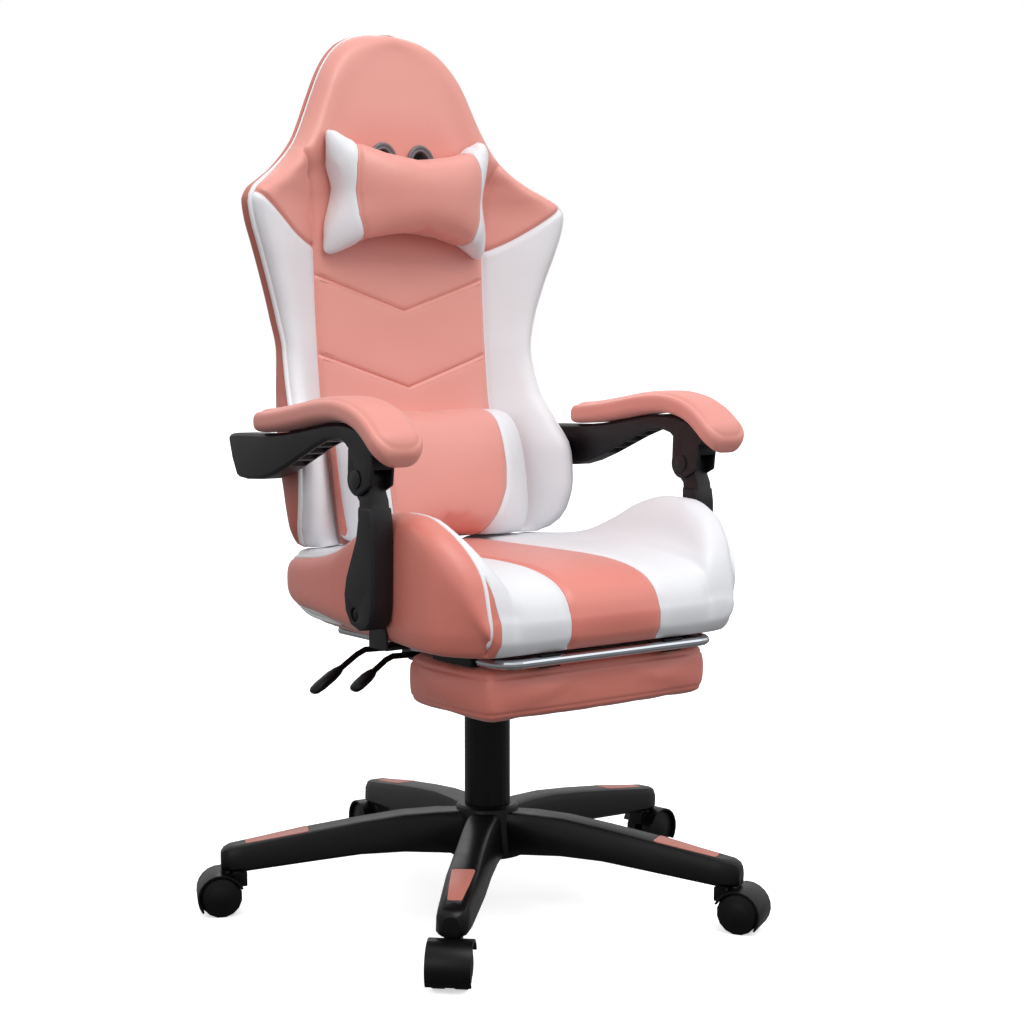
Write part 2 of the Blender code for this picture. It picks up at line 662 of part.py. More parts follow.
def pad_section(i, side):
    y, z = PAD_LINE[i]
    before = Vector(PAD_LINE[max(i - 1, 0)])
    after = Vector(PAD_LINE[min(i + 1, len(PAD_LINE) - 1)])
    along = (after - before).normalized()
    if i < 2:
        along = Vector((-1.0, 0.0))
    normal = Vector((along.y, -along.x))
    if normal.y < 0:
        normal = -normal
    k = PAD_SCALE[i]
    half = PAD_W / 2 * (0.55 + 0.45 * k)
    thick = 0.0300 * k
    shape = [(-0.60, 0.0), (0.60, 0.0), (0.88, 0.05), (1.0, 0.28), (1.0, 0.58), (0.90, 0.84),
             (0.66, 0.97), (0.25, 1.0), (-0.25, 1.0), (-0.66, 0.97), (-0.90, 0.84), (-1.0, 0.58),
             (-1.0, 0.28), (-0.88, 0.05)]
    out = []
    for u, v in shape:
        lift = 0.0006 + v * thick
        out.append((side * ARM_X + u * half, y + normal.x * lift, z + normal.y * lift))
    return out


def build_armrest(side, tag, charcoal, pink):
    x0, x1 = sorted((side * (ARM_X - ARM_W / 2), side * (ARM_X + ARM_W / 2)))
    sections = []
    for y, top, low in ARM_EDGE:
        b = min(0.004, (top - low) * 0.3)
        sections.append([(x0 + b, y, low), (x1 - b, y, low), (x1, y, low + b), (x1, y, top - b),
                         (x1 - b, y, top), (x0 + b, y, top), (x0, y, top - b), (x0, y, low + b)])
    arm = loft(sections)
    cheek = slab_x(arc(P2[0], P2[1], KNUCKLE_R, 235, 380, 10)
                   + [(-0.0985, 0.6500), (-0.1500, 0.6500), (-0.1530, 0.6300), (-0.1500, 0.6050)],
                   x0, x1, 0.002)
    union(arm, cheek)
    inner = KNUCKLE_W / 2 + 0.0006
    s0, s1 = sorted((side * (ARM_X - inner), side * (ARM_X + inner)))
    slot = slab_x([(-0.1900, 0.5600), (-0.0700, 0.5600)]
                  + arc(P2[0], P2[1], 0.0226, 0, 110, 7)
                  + [(-0.1400, 0.6290), (-0.1600, 0.6220), (-0.1900, 0.6200)], s0, s1)
    rear = [side * (ARM_X - ARM_W / 2 - 0.01), side * (ARM_X + 0.0110)]
    pockets = []
    for y, z in ((0.0420, 0.6240), (0.0180, 0.6335), (-0.0060, 0.6430), (-0.0300, 0.6520),
                 (-0.0540, 0.6580), (-0.0770, 0.6590)):
        pockets.append(box(x0 + 0.0065, x1 - 0.0065, y - 0.0095, y + 0.0095, z - 0.02, z + 0.0085))
    pin_bore = cylinder((0.0, P2[0], P2[1]), 0.0053, -0.30 if side < 0 else 0.20,
                        -0.20 if side < 0 else 0.30, 12, "X")
    rear_bore = cylinder((0.0, P1[0], P1[1]), 0.0068, min(rear), max(rear), 16, "X")
    cut(arm, slot, pin_bore, rear_bore, *pockets)
    place(arm, "armrest_" + tag, "arm_" + tag, charcoal)

    place(loft([pad_section(i, side) for i in range(len(PAD_LINE))]), "arm_pad_" + tag,
          "arm_" + tag, pink, 50.0)

    edge = ARM_X + ARM_W / 2
    near = ARM_X - ARM_W / 2
    pin = revolve([(0.0, near - 0.0016), (0.0120, near - 0.0014), (0.0120, near - 0.0003),
                   (0.0049, near - 0.0003), (0.0049, edge + 0.0003), (0.0120, edge + 0.0003),
                   (0.0120, edge + 0.0014), (0.0, edge + 0.0022)], 16, (0.0, P2[0], P2[1]), "X")
    if side < 0:
        mirror_x(pin)
    place(pin, "knuckle_pin_" + tag, "arm_" + tag, charcoal)

    a, b = sorted((side * (ARM_X - POST_W / 2), side * (ARM_X + POST_W / 2)))
    shaft = slab_x(post_outline(), a, b, 0.003)
    k0, k1 = sorted((side * (ARM_X - KNUCKLE_W / 2), side * (ARM_X + KNUCKLE_W / 2)))
    head = slab_x(arc(P2[0], P2[1], KNUCKLE_R, -20, 200, 12)
                  + [(-0.1460, 0.5860), (-0.1500, 0.5600), (-0.1180, 0.5600), (-0.1165, 0.5850)], k0, k1)
    union(shaft, head)
    cut(shaft, cylinder((0.0, P2[0], P2[1]), 0.0053, min(s0, s1) - 0.01, max(s0, s1) + 0.01, 16, "X"))
    hole = revolve([(0.0, 0.2400), (0.0053, 0.2400), (0.0053, 0.2782), (0.0092, 0.2782),
                    (0.0092, 0.2900), (0.0, 0.2900)], 14, (0.0, P3[0], P3[1]), "X")
    if side < 0:
        mirror_x(hole)
    cut(shaft, hole)
    place(shaft, "arm_post_" + tag, "post_" + tag, charcoal)

    stud = revolve([(0.0, 0.2338), (0.0180, 0.2338), (0.0180, 0.2462), (0.0165, 0.2475),
                    (0.0060, 0.2475), (0.0060, 0.2760), (0.0, 0.2760)], 16, (0.0, P1[0], P1[1]), "X")
    if side < 0:
        mirror_x(stud)
    place(stud, "arm_pivot_" + tag, "back", charcoal)


# ---- backrest -----------------------------------------------------------------------------
BACK_W = [(0.5012, 0.197), (0.5080, 0.210), (0.5330, 0.2255), (0.5770, 0.2300), (0.6210, 0.2290),
          (0.6660, 0.2215), (0.7110, 0.2130), (0.7700, 0.2090), (0.8140, 0.2170), (0.8740, 0.2350),
          (0.9150, 0.2500), (0.9500, 0.2615), (0.9720, 0.2640), (0.9850, 0.2560), (0.9980, 0.2380),
          (1.0150, 0.2120), (1.0350, 0.1870), (1.0600, 0.1650), (1.0900, 0.1485), (1.1250, 0.1325),
          (1.1550, 0.1180), (1.1800, 0.1020), (1.2000, 0.0820), (1.2130, 0.0590), (1.2190, 0.0360)]
BACK_EDGE = [(0.5012, 0.140), (0.5330, 0.113), (0.5770, 0.102), (0.6210, 0.105), (0.6660, 0.133),
             (0.7110, 0.161), (0.7700, 0.178), (0.8140, 0.181), (0.8740, 0.177), (0.9150, 0.172),
             (0.9700, 0.169), (1.0150, 0.185), (1.0500, 0.199), (1.1000, 0.209), (1.1550, 0.215),
             (1.2190, 0.229)]
BACK_MID = [(0.5012, 0.1500), (0.6000, 0.1720), (0.7160, 0.1950), (0.8260, 0.2050), (0.9300, 0.2090),
            (1.0600, 0.2150), (1.1500, 0.2190), (1.2190, 0.2300)]
BACK_SPLIT = [(0.5012, 0.1824), (0.6300, 0.2080), (0.7160, 0.2230), (0.8260, 0.2360), (0.9300, 0.2420),
              (1.0600, 0.2440), (1.1500, 0.2420), (1.2190, 0.2370)]
BACK_BAND = [(0.5012, 0.036), (0.5330, 0.056), (0.6210, 0.060), (0.7110, 0.040), (0.7700, 0.028),
             (0.9700, 0.028), (1.0500, 0.026), (1.1550, 0.024), (1.2190, 0.016)]
BACK_REAR = [(0.5012, 0.2020), (0.5330, 0.2180), (0.6210, 0.2400), (0.7160, 0.2560), (0.8260, 0.2700),
             (0.9300, 0.2780), (1.0600, 0.2760), (1.1500, 0.2680), (1.2000, 0.2580), (1.2190, 0.2450)]
BACK_STATIONS = (0.5012, 0.5080, 0.5330, 0.5770, 0.6210, 0.6660, 0.7110, 0.7700, 0.8200, 0.8800,
                 0.9300, 0.9600, 0.9760, 0.9880, 1.0040, 1.0300, 1.0650, 1.1100, 1.1550, 1.1850,
                 1.2050, 1.2150, 1.2190)
SPLIT_GAP = 0.0006
FRONT_STEPS = (0.0, 0.53, 0.64, 0.75, 0.86, 0.95, 1.0)


def back_front(s, z):
    """Front surface at the fraction s of the half width, height z."""
    wide = spline(BACK_W, z)
    edge = spline(BACK_EDGE, z)
    mid = spline(BACK_MID, z)
    panel = min(0.140, wide * 0.66)
    t = (abs(s) * wide - panel) / (wide - panel)
    if t <= 0.0:
        return mid
    smooth = t * t * (3.0 - 2.0 * t)
    swell = 0.30 * (mid - edge) * math.sin(math.pi * t) * t
    return mid + (edge - mid) * smooth - swell


def back_facet(s, z):
    """The same surface as the flat facets between FRONT_STEPS give it."""
    s = min(abs(s), 1.0)
    for a, b in zip(FRONT_STEPS, FRONT_STEPS[1:]):
        if s <= b:
            break
    u = (s - a) / (b - a)
    return back_front(a, z) * (1.0 - u) + back_front(b, z) * u


def back_split(s, z):
    edge = spline(BACK_EDGE, z) + 0.006
    mid = spline(BACK_SPLIT, z)
    return mid + (edge - mid) * abs(s) ** 3


def back_rear(s, z):
    edge = spline(BACK_EDGE, z) + 0.006 + spline(BACK_BAND, z)
    mid = spline(BACK_REAR, z)
    return mid + (edge - mid) * abs(s) ** 4


def build_back(pink, steel, grey):
    steps = tuple(-s for s in FRONT_STEPS[:0:-1]) + FRONT_STEPS[1:]
    rear_steps = (0.92, 0.77, 0.52, -0.52, -0.77, -0.92)
    sections = []
    for z in BACK_STATIONS:
        wide = spline(BACK_W, z)
        ring = [(s * wide, back_front(s, z), z) for s in steps]
        ring += [(s * wide, back_split(s, z), z) for s in rear_steps]
        sections.append(ring)
    cushion = loft(sections)

    steps = (1.0,) + rear_steps + (-1.0,)
    rear_steps = (-1.0, -0.94, -0.80, -0.55, -0.20, 0.20, 0.55, 0.80, 0.94, 1.0)
    sections = []
    for z in BACK_STATIONS:
        wide = spline(BACK_W, z)
        ring = [(s * wide, back_split(s, z) + SPLIT_GAP, z) for s in steps]
        for s in rear_steps:
            bulge = 0.004 if abs(s) == 1.0 else 0.0
            y = back_rear(s, z) - (0.008 if abs(s) == 1.0 else 0.0)
            ring.append((s * (wide + bulge), y, z))
        sections.append(ring)
    cover = loft(sections)

    low_y = spline(BACK_SPLIT, 0.5012) + SPLIT_GAP
    lean = (spline(BACK_SPLIT, 0.63) - spline(BACK_SPLIT, 0.5012)) / 0.1288
    plate_y = low_y + 0.0002

    def plate_line(z, depth):
        return (plate_y + lean * (z - 0.5012) + depth, z)

    pocket = slab_x([plate_line(0.48, -0.012), plate_line(0.48, 0.0048), plate_line(0.6360, 0.0048),
                     plate_line(0.6360, -0.012)][::-1], -0.0506, 0.0506)
    cut(cover, pocket)
    bracket = slab_x(arc(P0[0], P0[1], 0.0120, 60, 330, 13)
                     + [plate_line(0.4820, 0.0040), plate_line(0.6350, 0.0040),
                        plate_line(0.6350, 0.0004), plate_line(0.4900, 0.0004)], -0.0500, 0.0500)
    cut(bracket, cylinder((0.0, P0[0], P0[1]), 0.0064, -0.08, 0.08, 16, "X"))
    place(bracket, "back_bracket", "back", steel)

    for side, tag in ((-1, "r"), (1, "l")):
        centre = (side * SLOT_X, SLOT_Z)
        front = spline(BACK_MID, SLOT_Z)
        rear = spline(BACK_REAR, SLOT_Z)
        tilt = side * SLOT_TILT

        def oval(a, b, count=16):
            out = []
            for i in range(count):
                angle = 2.0 * math.pi * i / count
                u = a * math.cos(angle)
                v = b * math.sin(angle)
                out.append((centre[0] + u - tilt * v, centre[1] + v + tilt * u))
            return out

        def oval_loft(shapes):
            return loft([[(x, y, z) for x, z in shape] for y, shape in shapes])

        cut(cushion, oval_loft([(0.15, oval(0.0190, 0.0270)), (0.32, oval(0.0190, 0.0270))]))
        cut(cover, oval_loft([(0.15, oval(0.0190, 0.0270)), (0.32, oval(0.0190, 0.0270))]))
        bezel = oval_loft([(front - 0.0046, oval(0.0215, 0.0295)),
                           (front - 0.0024, oval(0.0255, 0.0335)),
                           (front - 0.0023, oval(0.0186, 0.0266)),
                           (rear + 0.0010, oval(0.0186, 0.0266))])
        cut(bezel, oval_loft([(0.10, oval(0.0155, 0.0235)), (0.35, oval(0.0155, 0.0235))]))
        place(bezel, "harness_bezel_" + tag, "back", grey)

    place(cushion, "back_cushion", "back", pink, 50.0)
    place(cover, "back_cover", "back", pink, 50.0)


def pillow(rows, lean, base, name, material):
    """rows: x, low z, high z, front bulge, rear gap; lean gives the rear face's y at a height."""
    shape = [(0.0, 0.10), (0.10, 0.0), (0.50, 0.0), (0.90, 0.0), (1.0, 0.10), (0.97, 0.45),
             (0.86, 0.78), (0.68, 0.95), (0.50, 1.0), (0.32, 0.95), (0.14, 0.78), (0.03, 0.45)]
    sections = []
    for x, low, high, front, gap in rows:
        ring = []
        for v, u in shape:
            z = low + (high - low) * v
            ring.append((x, lean(x, z) - base - gap - u * front, z))
        sections.append(ring)
    place(loft(sections), name, "back", material, 50.0)


def build_pillows(pink):
    def lean(x, z):
        return back_facet(x / spline(BACK_W, z), z)

    head = [(-0.1380, 0.925, 1.045, 0.020, 0.004), (-0.1340, 0.912, 1.060, 0.036, 0.001),
            (-0.1150, 0.908, 1.062, 0.050, 0.0), (-0.0850, 0.918, 1.054, 0.062, 0.0),
            (-0.0450, 0.926, 1.046, 0.072, 0.0), (0.0, 0.930, 1.043, 0.076, 0.0)]
    rows = head + [(-x, low, high, f, g) for x, low, high, f, g in reversed(head[:-1])]
    pillow(rows, lean, 0.0072, "head_pillow", pink)
    lumbar = [(-0.1560, 0.520, 0.662, 0.026, 0.004), (-0.1520, 0.509, 0.676, 0.050, 0.001),
              (-0.1350, 0.503, 0.683, 0.070, 0.0), (-0.0900, 0.5016, 0.6845, 0.080, 0.0),
              (0.0, 0.5016, 0.6845, 0.084, 0.0)]
    rows = lumbar + [(-x, low, high, f, g) for x, low, high, f, g in reversed(lumbar[:-1])]
    pillow(rows, lean, 0.0058, "lumbar_pillow", pink)


# ---- the chair ----------------------------------------------------------------------------
def build_chair():
    pink = make_material("pink_leather", PINK, 0.45, 0.0)
    pad_pink = make_material("pad_leather", PINK, 0.50, 0.0)
    inlay_pink = make_material("inlay_plastic", (0.50, 0.17, 0.12, 1.0), 0.40, 0.0)
    black = make_material("black_plastic", BLACK, 0.35, 0.0)
    charcoal = make_material("charcoal_plastic", CHARCOAL, 0.45, 0.0)
    wheel_mat = make_material("wheel_plastic", BLACK, 0.50, 0.0)
    frame_black = make_material("painted_frame", BLACK, 0.50, 0.0)
    chrome = make_material("chrome_tube", STEEL, 0.20, 1.0)
    steel = make_material("dark_steel", (0.05, 0.05, 0.055, 1.0), 0.35, 1.0)
    grey = make_material("bezel_plastic", GREY, 0.40, 0.0)

    make_body("chair", None, (0.0, 0.0, 0.0))
    make_body("base", "chair", (0.0, 0.0, 0.0))
    make_body("cover_mid", "base", (0.0, 0.0, 0.2))
    make_body("lift", "base", (0.0, 0.0, 0.3))
    make_body("seat", "lift", (0.0, 0.0, 0.37))
    make_body("back", "seat", (0.0, P0[0], P0[1]))
    for side, tag in ((-1, "r"), (1, "l")):
        make_body("post_" + tag, "seat", (side * ARM_X, P3[0], P3[1]))
        make_body("arm_" + tag, "post_" + tag, (side * ARM_X, P2[0], P2[1]))
    make_body("height_lever", "seat", (-0.070, LEVER_Y2, 0.371))
    make_body("recline_lever", "seat", (-0.070, LEVER_Y1, 0.371))
    make_body("footrest_slide", "seat", (0.0, TUBE_Y, TUBE_Z))
    make_body("footrest_flip", "footrest_slide", (0.0, TUBE_Y, TUBE_Z))

    build_base(black, inlay_pink)
    for i in range(ARM_COUNT):
        build_caster(i, black, wheel_mat)
    build_lift(black, steel)
    build_seat(pink, frame_black, steel)
    build_lever("height_lever", "height_lever", LEVER_Y2, (-0.2480, LEVER_Y2 - 0.004, 0.3380), black)
    build_lever("recline_lever", "recline_lever", LEVER_Y1, (-0.2700, LEVER_Y1 - 0.006, 0.3280), black)
    build_footrest(pink, chrome)
    build_back(pink, steel, grey)
    build_pillows(pink)
    for side, tag in ((-1, "r"), (1, "l")):
        build_armrest(side, tag, charcoal, pad_pink)
    EMPTIES["lift"][0].location.z += LIFT_REST
    EMPTIES["chair"][0].location = (AXIS_X, AXIS_Y, 0.0)


clear_scene()
build_chair()
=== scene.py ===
"""Looks for the gaming chair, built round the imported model.

Shapes are written in the chair's own frame, like the CAD: Z is the gas lift's axis, and heights are
those of the lift at rest before it is set down on its stop. place() moves a piece from there to the
row frame. The sitter faces -Y, and the sitter's left is +X.
"""
import math

import bmesh
import bpy
import numpy as np
from mathutils import Matrix, Vector


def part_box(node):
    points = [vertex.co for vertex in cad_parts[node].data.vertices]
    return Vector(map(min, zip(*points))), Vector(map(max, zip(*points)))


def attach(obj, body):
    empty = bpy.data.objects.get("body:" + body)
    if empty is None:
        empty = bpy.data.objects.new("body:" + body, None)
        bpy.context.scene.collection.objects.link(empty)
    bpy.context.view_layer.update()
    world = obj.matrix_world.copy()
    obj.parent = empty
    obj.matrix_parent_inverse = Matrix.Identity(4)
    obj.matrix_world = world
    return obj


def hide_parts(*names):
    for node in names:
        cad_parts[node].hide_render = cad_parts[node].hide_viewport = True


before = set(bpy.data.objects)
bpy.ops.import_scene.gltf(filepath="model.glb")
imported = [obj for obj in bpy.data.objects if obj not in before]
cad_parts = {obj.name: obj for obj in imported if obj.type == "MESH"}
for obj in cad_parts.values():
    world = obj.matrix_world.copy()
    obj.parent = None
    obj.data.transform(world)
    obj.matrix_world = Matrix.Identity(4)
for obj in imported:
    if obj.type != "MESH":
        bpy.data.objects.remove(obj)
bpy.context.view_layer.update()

# ---- where the chair's own frame stands in the row frame --------------------------------------
BOARD_BOTTOM = 0.3850
COLUMN = (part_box("cover_lower")[0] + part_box("cover_lower")[1]) / 2
ORIGIN = Vector((COLUMN.x, COLUMN.y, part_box("seat_board")[0].z - BOARD_BOTTOM))
FLOOR_ORIGIN = Vector((COLUMN.x, COLUMN.y, 0.0))


# ---- mesh helpers ------------------------------------------------------------------------------
MERGE = 0.00001             # points closer than this are one


def curve_of(rows):
    """A smooth monotone curve through (t, value) rows, as a function of an array."""
    t = np.array([r[0] for r in rows], float)
    v = np.array([r[1] for r in rows], float)
    step = np.diff(v) / np.diff(t)
    slope = np.empty_like(v)
    slope[0] = step[0]
    slope[-1] = step[-1]
    left, right = step[:-1], step[1:]
    with np.errstate(divide="ignore", invalid="ignore"):
        slope[1:-1] = np.where(left * right > 0, 2 * left * right / (left + right), 0.0)

    def value(x):
        x = np.clip(np.asarray(x, float), t[0], t[-1])
        k = np.clip(np.searchsorted(t, x, side="right") - 1, 0, len(t) - 2)
        h = t[k + 1] - t[k]
        u = (x - t[k]) / h
        return ((2 * u ** 3 - 3 * u ** 2 + 1) * v[k] + (u ** 3 - 2 * u ** 2 + u) * h * slope[k]
                + (-2 * u ** 3 + 3 * u ** 2) * v[k + 1] + (u ** 3 - u ** 2) * h * slope[k + 1])

    return value


def add_object(name, data):
    obj = bpy.data.objects.new(name, data)
    bpy.context.scene.collection.objects.link(obj)
    return obj


def open_mesh(mesh):
    work = bmesh.new()
    work.from_mesh(mesh)
    return work


def close_mesh(work, mesh):
    work.to_mesh(mesh)
    work.free()


def new_object(name, verts, faces, smooth=True):
    mesh = bpy.data.meshes.new(name)
    mesh.from_pydata([tuple(v) for v in verts], [], faces)
    work = open_mesh(mesh)
    bmesh.ops.remove_doubles(work, verts=work.verts, dist=MERGE)
    bmesh.ops.recalc_face_normals(work, faces=work.faces)
    close_mesh(work, mesh)
    if smooth:
        mesh.shade_smooth()
    return add_object(name, mesh)


def loft(name, rings):
    """A closed solid through closed rings of equal length, capped with fans at both ends."""
    count = len(rings[0])
    verts = [Vector(p) for ring in rings for p in ring]
    faces = []
    for i in range(len(rings) - 1):
        for j in range(count):
            k = (j + 1) % count
            a, b = i * count, (i + 1) * count
            faces.append((a + j, a + k, b + k, b + j))
    for start in (0, (len(rings) - 1) * count):
        centre = sum((verts[start + j] for j in range(count)), Vector()) / count
        verts.append(centre)
        for j in range(count):
            faces.append((start + j, start + (j + 1) % count, len(verts) - 1))
    return new_object(name, verts, faces)


def block(name, front, back, mask):
    """A closed slab over the grid cells in mask, with its own front and back surfaces."""
    rows, cols = front.shape[:2]
    verts = np.concatenate([front.reshape(-1, 3), back.reshape(-1, 3)])
    far = rows * cols
    faces = []

    def on(i, j):
        return 0 <= i < rows - 1 and 0 <= j < cols - 1 and mask[i, j]

    for i in range(rows - 1):
        for j in range(cols - 1):
            if not mask[i, j]:
                continue
            a, b, c, d = i * cols + j, i * cols + j + 1, (i + 1) * cols + j + 1, (i + 1) * cols + j
            faces.append((a, b, c, d))
            faces.append((d + far, c + far, b + far, a + far))
            for side, p, q in (((i - 1, j), a, b), ((i, j + 1), b, c),
                               ((i + 1, j), c, d), ((i, j - 1), d, a)):
                if not on(*side):
                    faces.append((q, p, p + far, q + far))
    used = sorted({v for f in faces for v in f})
    index = {v: n for n, v in enumerate(used)}
    return new_object(name, verts[used], [tuple(index[v] for v in f) for f in faces])


def tube(name, points, radius, sides=12):
    """A rounded cord along points, with domed ends; radius is a number or one for each point."""
    points = [Vector(p) for p in points]
    radii = np.broadcast_to(radius, len(points))
    rings = []
    lift = None
    last = len(points) - 1
    for i, here in enumerate(points):
        along = (points[min(i + 1, last)] - points[max(i - 1, 0)]).normalized()
        if lift is None:
            lift = along.orthogonal().normalized()
        lift = (lift - along * lift.dot(along)).normalized()
        side = along.cross(lift)
        size = float(radii[i]) * (0.35 if i in (0, last) else 1.0)
        rings.append([here + side * (size * math.cos(a)) + lift * (size * math.sin(a))
                      for a in (2 * math.pi * s / sides for s in range(sides))])
    return loft(name, rings)


def crease(obj, degrees):
    obj.data.shade_smooth()
    obj.data.set_sharp_from_angle(angle=math.radians(degrees))


def apply_modifiers(obj):
    graph = bpy.context.evaluated_depsgraph_get()
    mesh = bpy.data.meshes.new_from_object(obj.evaluated_get(graph))
    obj.modifiers.clear()
    obj.data = mesh


def subdivide(obj, levels=1):
    mod = obj.modifiers.new("smooth", "SUBSURF")
    mod.levels = mod.render_levels = levels
    apply_modifiers(obj)
    obj.data.shade_smooth()


def cut_away(obj, cutter):
    mod = obj.modifiers.new("cut", "BOOLEAN")
    mod.operation = "DIFFERENCE"
    mod.solver = "EXACT"
    mod.object = cutter
    apply_modifiers(obj)
    bpy.data.objects.remove(cutter, do_unlink=True)


def coords(obj):
    flat = np.empty(len(obj.data.vertices) * 3)
    obj.data.vertices.foreach_get("co", flat)
    return flat.reshape(-1, 3)


def set_coords(obj, points):
    obj.data.vertices.foreach_set("co", np.asarray(points, float).ravel())
    obj.data.update()


def move_along_normals(obj, amount):
    normals = np.array([v.normal for v in obj.data.vertices])
    set_coords(obj, coords(obj) + normals * amount[:, None])


def even_out(obj, voxel):
    mod = obj.modifiers.new("even", "REMESH")
    mod.mode = "VOXEL"
    mod.voxel_size = voxel


def relax(obj, rounds):
    mod = obj.modifiers.new("relax", "SMOOTH")
    mod.iterations = rounds
    mod.factor = 0.5
    apply_modifiers(obj)


def inflate(obj, voxel, cap, rounds, pressure=4.0, frames=20):
    """Swell a closed form as a stuffed cover: remesh, cloth pressure, cap the movement, subdivide."""
    even_out(obj, voxel)
    apply_modifiers(obj)
    rest = coords(obj)
    mod = obj.modifiers.new("stuffing", "CLOTH")
    cloth = mod.settings
    cloth.quality = 5
    cloth.mass = 0.3
    cloth.tension_stiffness = 12
    cloth.compression_stiffness = 12
    cloth.shear_stiffness = 5
    cloth.bending_stiffness = 0.5
    cloth.use_pressure = True
    cloth.uniform_pressure_force = pressure
    cloth.effector_weights.gravity = 0.0
    mod.collision_settings.use_collision = False
    mod.collision_settings.use_self_collision = False
    mod.point_cache.frame_start = 1
    mod.point_cache.frame_end = frames
    for number in range(1, frames + 1):
        bpy.context.scene.frame_set(number)
    apply_modifiers(obj)
    bpy.context.scene.frame_set(1)
    moved = coords(obj) - rest
    length = np.linalg.norm(moved, axis=1)
    scale = np.where(length > cap, cap / np.maximum(length, 1e-9), 1.0)
    set_coords(obj, rest + moved * scale[:, None])
    relax(obj, rounds)
    subdivide(obj)


def bell(distance, width):
    return np.exp(-(distance / width) ** 2)


def place(obj, body, slot, material, *replaces, fill=None):
    """Give a finished piece its material, put it in the row frame and let it ride on its body."""
    obj.data.materials.clear()
    obj.data.materials.append(material)
    obj.data.transform(Matrix.Translation(ORIGIN))
    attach(obj, body)
    if replaces:
        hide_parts(*replaces)
    return obj


# ---- materials -------------------------------------------------------------------------------------
def shader_of(name, colour, roughness, metallic=0.0):
    mat = bpy.data.materials.new(name)
    mat.use_nodes = True
    shader = mat.node_tree.nodes["Principled BSDF"]
    shader.inputs["Base Color"].default_value = (*colour, 1.0)
    shader.inputs["Roughness"].default_value = roughness
    shader.inputs["Metallic"].default_value = metallic
    return mat, shader


def add(tree, kind, **values):
    node = tree.nodes.new(kind)
    for key, value in values.items():
        if key in node.inputs:
            node.inputs[key].default_value = value
        else:
            setattr(node, key, value)
    return node


def surface_detail(mat, shader, colours, tone_scale, rough, rough_scale, bumps):
    """Tone and roughness that wander over the surface, and a stack of fine bumps."""
    tree = mat.node_tree
    link = tree.links.new
    where = add(tree, "ShaderNodeTexCoord").outputs["Object"]
    tone = add(tree, "ShaderNodeTexNoise", Scale=tone_scale, Detail=4.0, Roughness=0.55)
    link(where, tone.inputs["Vector"])
    ramp = add(tree, "ShaderNodeValToRGB")
    ramp.color_ramp.elements[0].position = 0.25
    ramp.color_ramp.elements[1].position = 0.75
    ramp.color_ramp.elements[0].color = (*colours[0], 1.0)
    ramp.color_ramp.elements[1].color = (*colours[1], 1.0)
    link(tone.outputs["Fac"], ramp.inputs["Fac"])
    link(ramp.outputs["Color"], shader.inputs["Base Color"])
    shine = add(tree, "ShaderNodeTexNoise", Scale=rough_scale, Detail=3.0)
    link(where, shine.inputs["Vector"])
    span = add(tree, "ShaderNodeMapRange")
    span.inputs["To Min"].default_value = rough[0]
    span.inputs["To Max"].default_value = rough[1]
    link(shine.outputs["Fac"], span.inputs["Value"])
    link(span.outputs["Result"], shader.inputs["Roughness"])
    normal = None
    for kind, scale, strength, depth in bumps:
        if kind == "cells":
            cell = add(tree, "ShaderNodeTexVoronoi", Scale=scale)
            height = cell.outputs["Distance"]
            link(where, cell.inputs["Vector"])
        else:
            grain = add(tree, "ShaderNodeTexNoise", Scale=scale, Detail=3.0)
            height = grain.outputs["Fac"]
            link(where, grain.inputs["Vector"])
        bump = add(tree, "ShaderNodeBump", Strength=strength, Distance=depth)
        link(height, bump.inputs["Height"])
        if normal is not None:
            link(normal, bump.inputs["Normal"])
        normal = bump.outputs["Normal"]
    link(normal, shader.inputs["Normal"])
    return mat


def leather(name, light, deep, rough=(0.38, 0.50), grain=0.22, shine=0.55, sheen=0.16):
    """Smooth coated leather: pebbles about 1 mm across over finer pores."""
    mat, shader = shader_of(name, light, 0.45)
    shader.inputs["Specular IOR Level"].default_value = shine
    shader.inputs["Sheen Weight"].default_value = sheen
    shader.inputs["Sheen Roughness"].default_value = 0.40
    return surface_detail(mat, shader, (deep, light), 5.0, rough, 60.0,
                          [("cells", 850.0, grain, 0.00035), ("grain", 2600.0, grain * 0.5, 0.00015),
                           ("grain", 28.0, 0.10, 0.0012)])


def plastic(name, light, deep, rough=(0.30, 0.42), grain=0.15, scale=1500.0, shine=0.5):
    mat, shader = shader_of(name, light, 0.4)
    shader.inputs["Specular IOR Level"].default_value = shine
    return surface_detail(mat, shader, (deep, light), 16.0, rough, 45.0,
                          [("grain", scale, grain, 0.00012), ("grain", 90.0, 0.05, 0.0004)])


def metal(name, light, deep, rough, grain=0.08):
    mat, shader = shader_of(name, light, 0.2, 1.0)
    return surface_detail(mat, shader, (deep, light), 30.0, rough, 140.0,
                          [("grain", 500.0, grain, 0.0001)])


def thread(name, colour):
    mat, shader = shader_of(name, colour, 0.6)
    shader.inputs["Sheen Weight"].default_value = 0.3
    return surface_detail(mat, shader, (tuple(c * 0.86 for c in colour), colour), 300.0, (0.5, 0.7), 400.0,
                          [("grain", 4000.0, 0.4, 0.0002)])


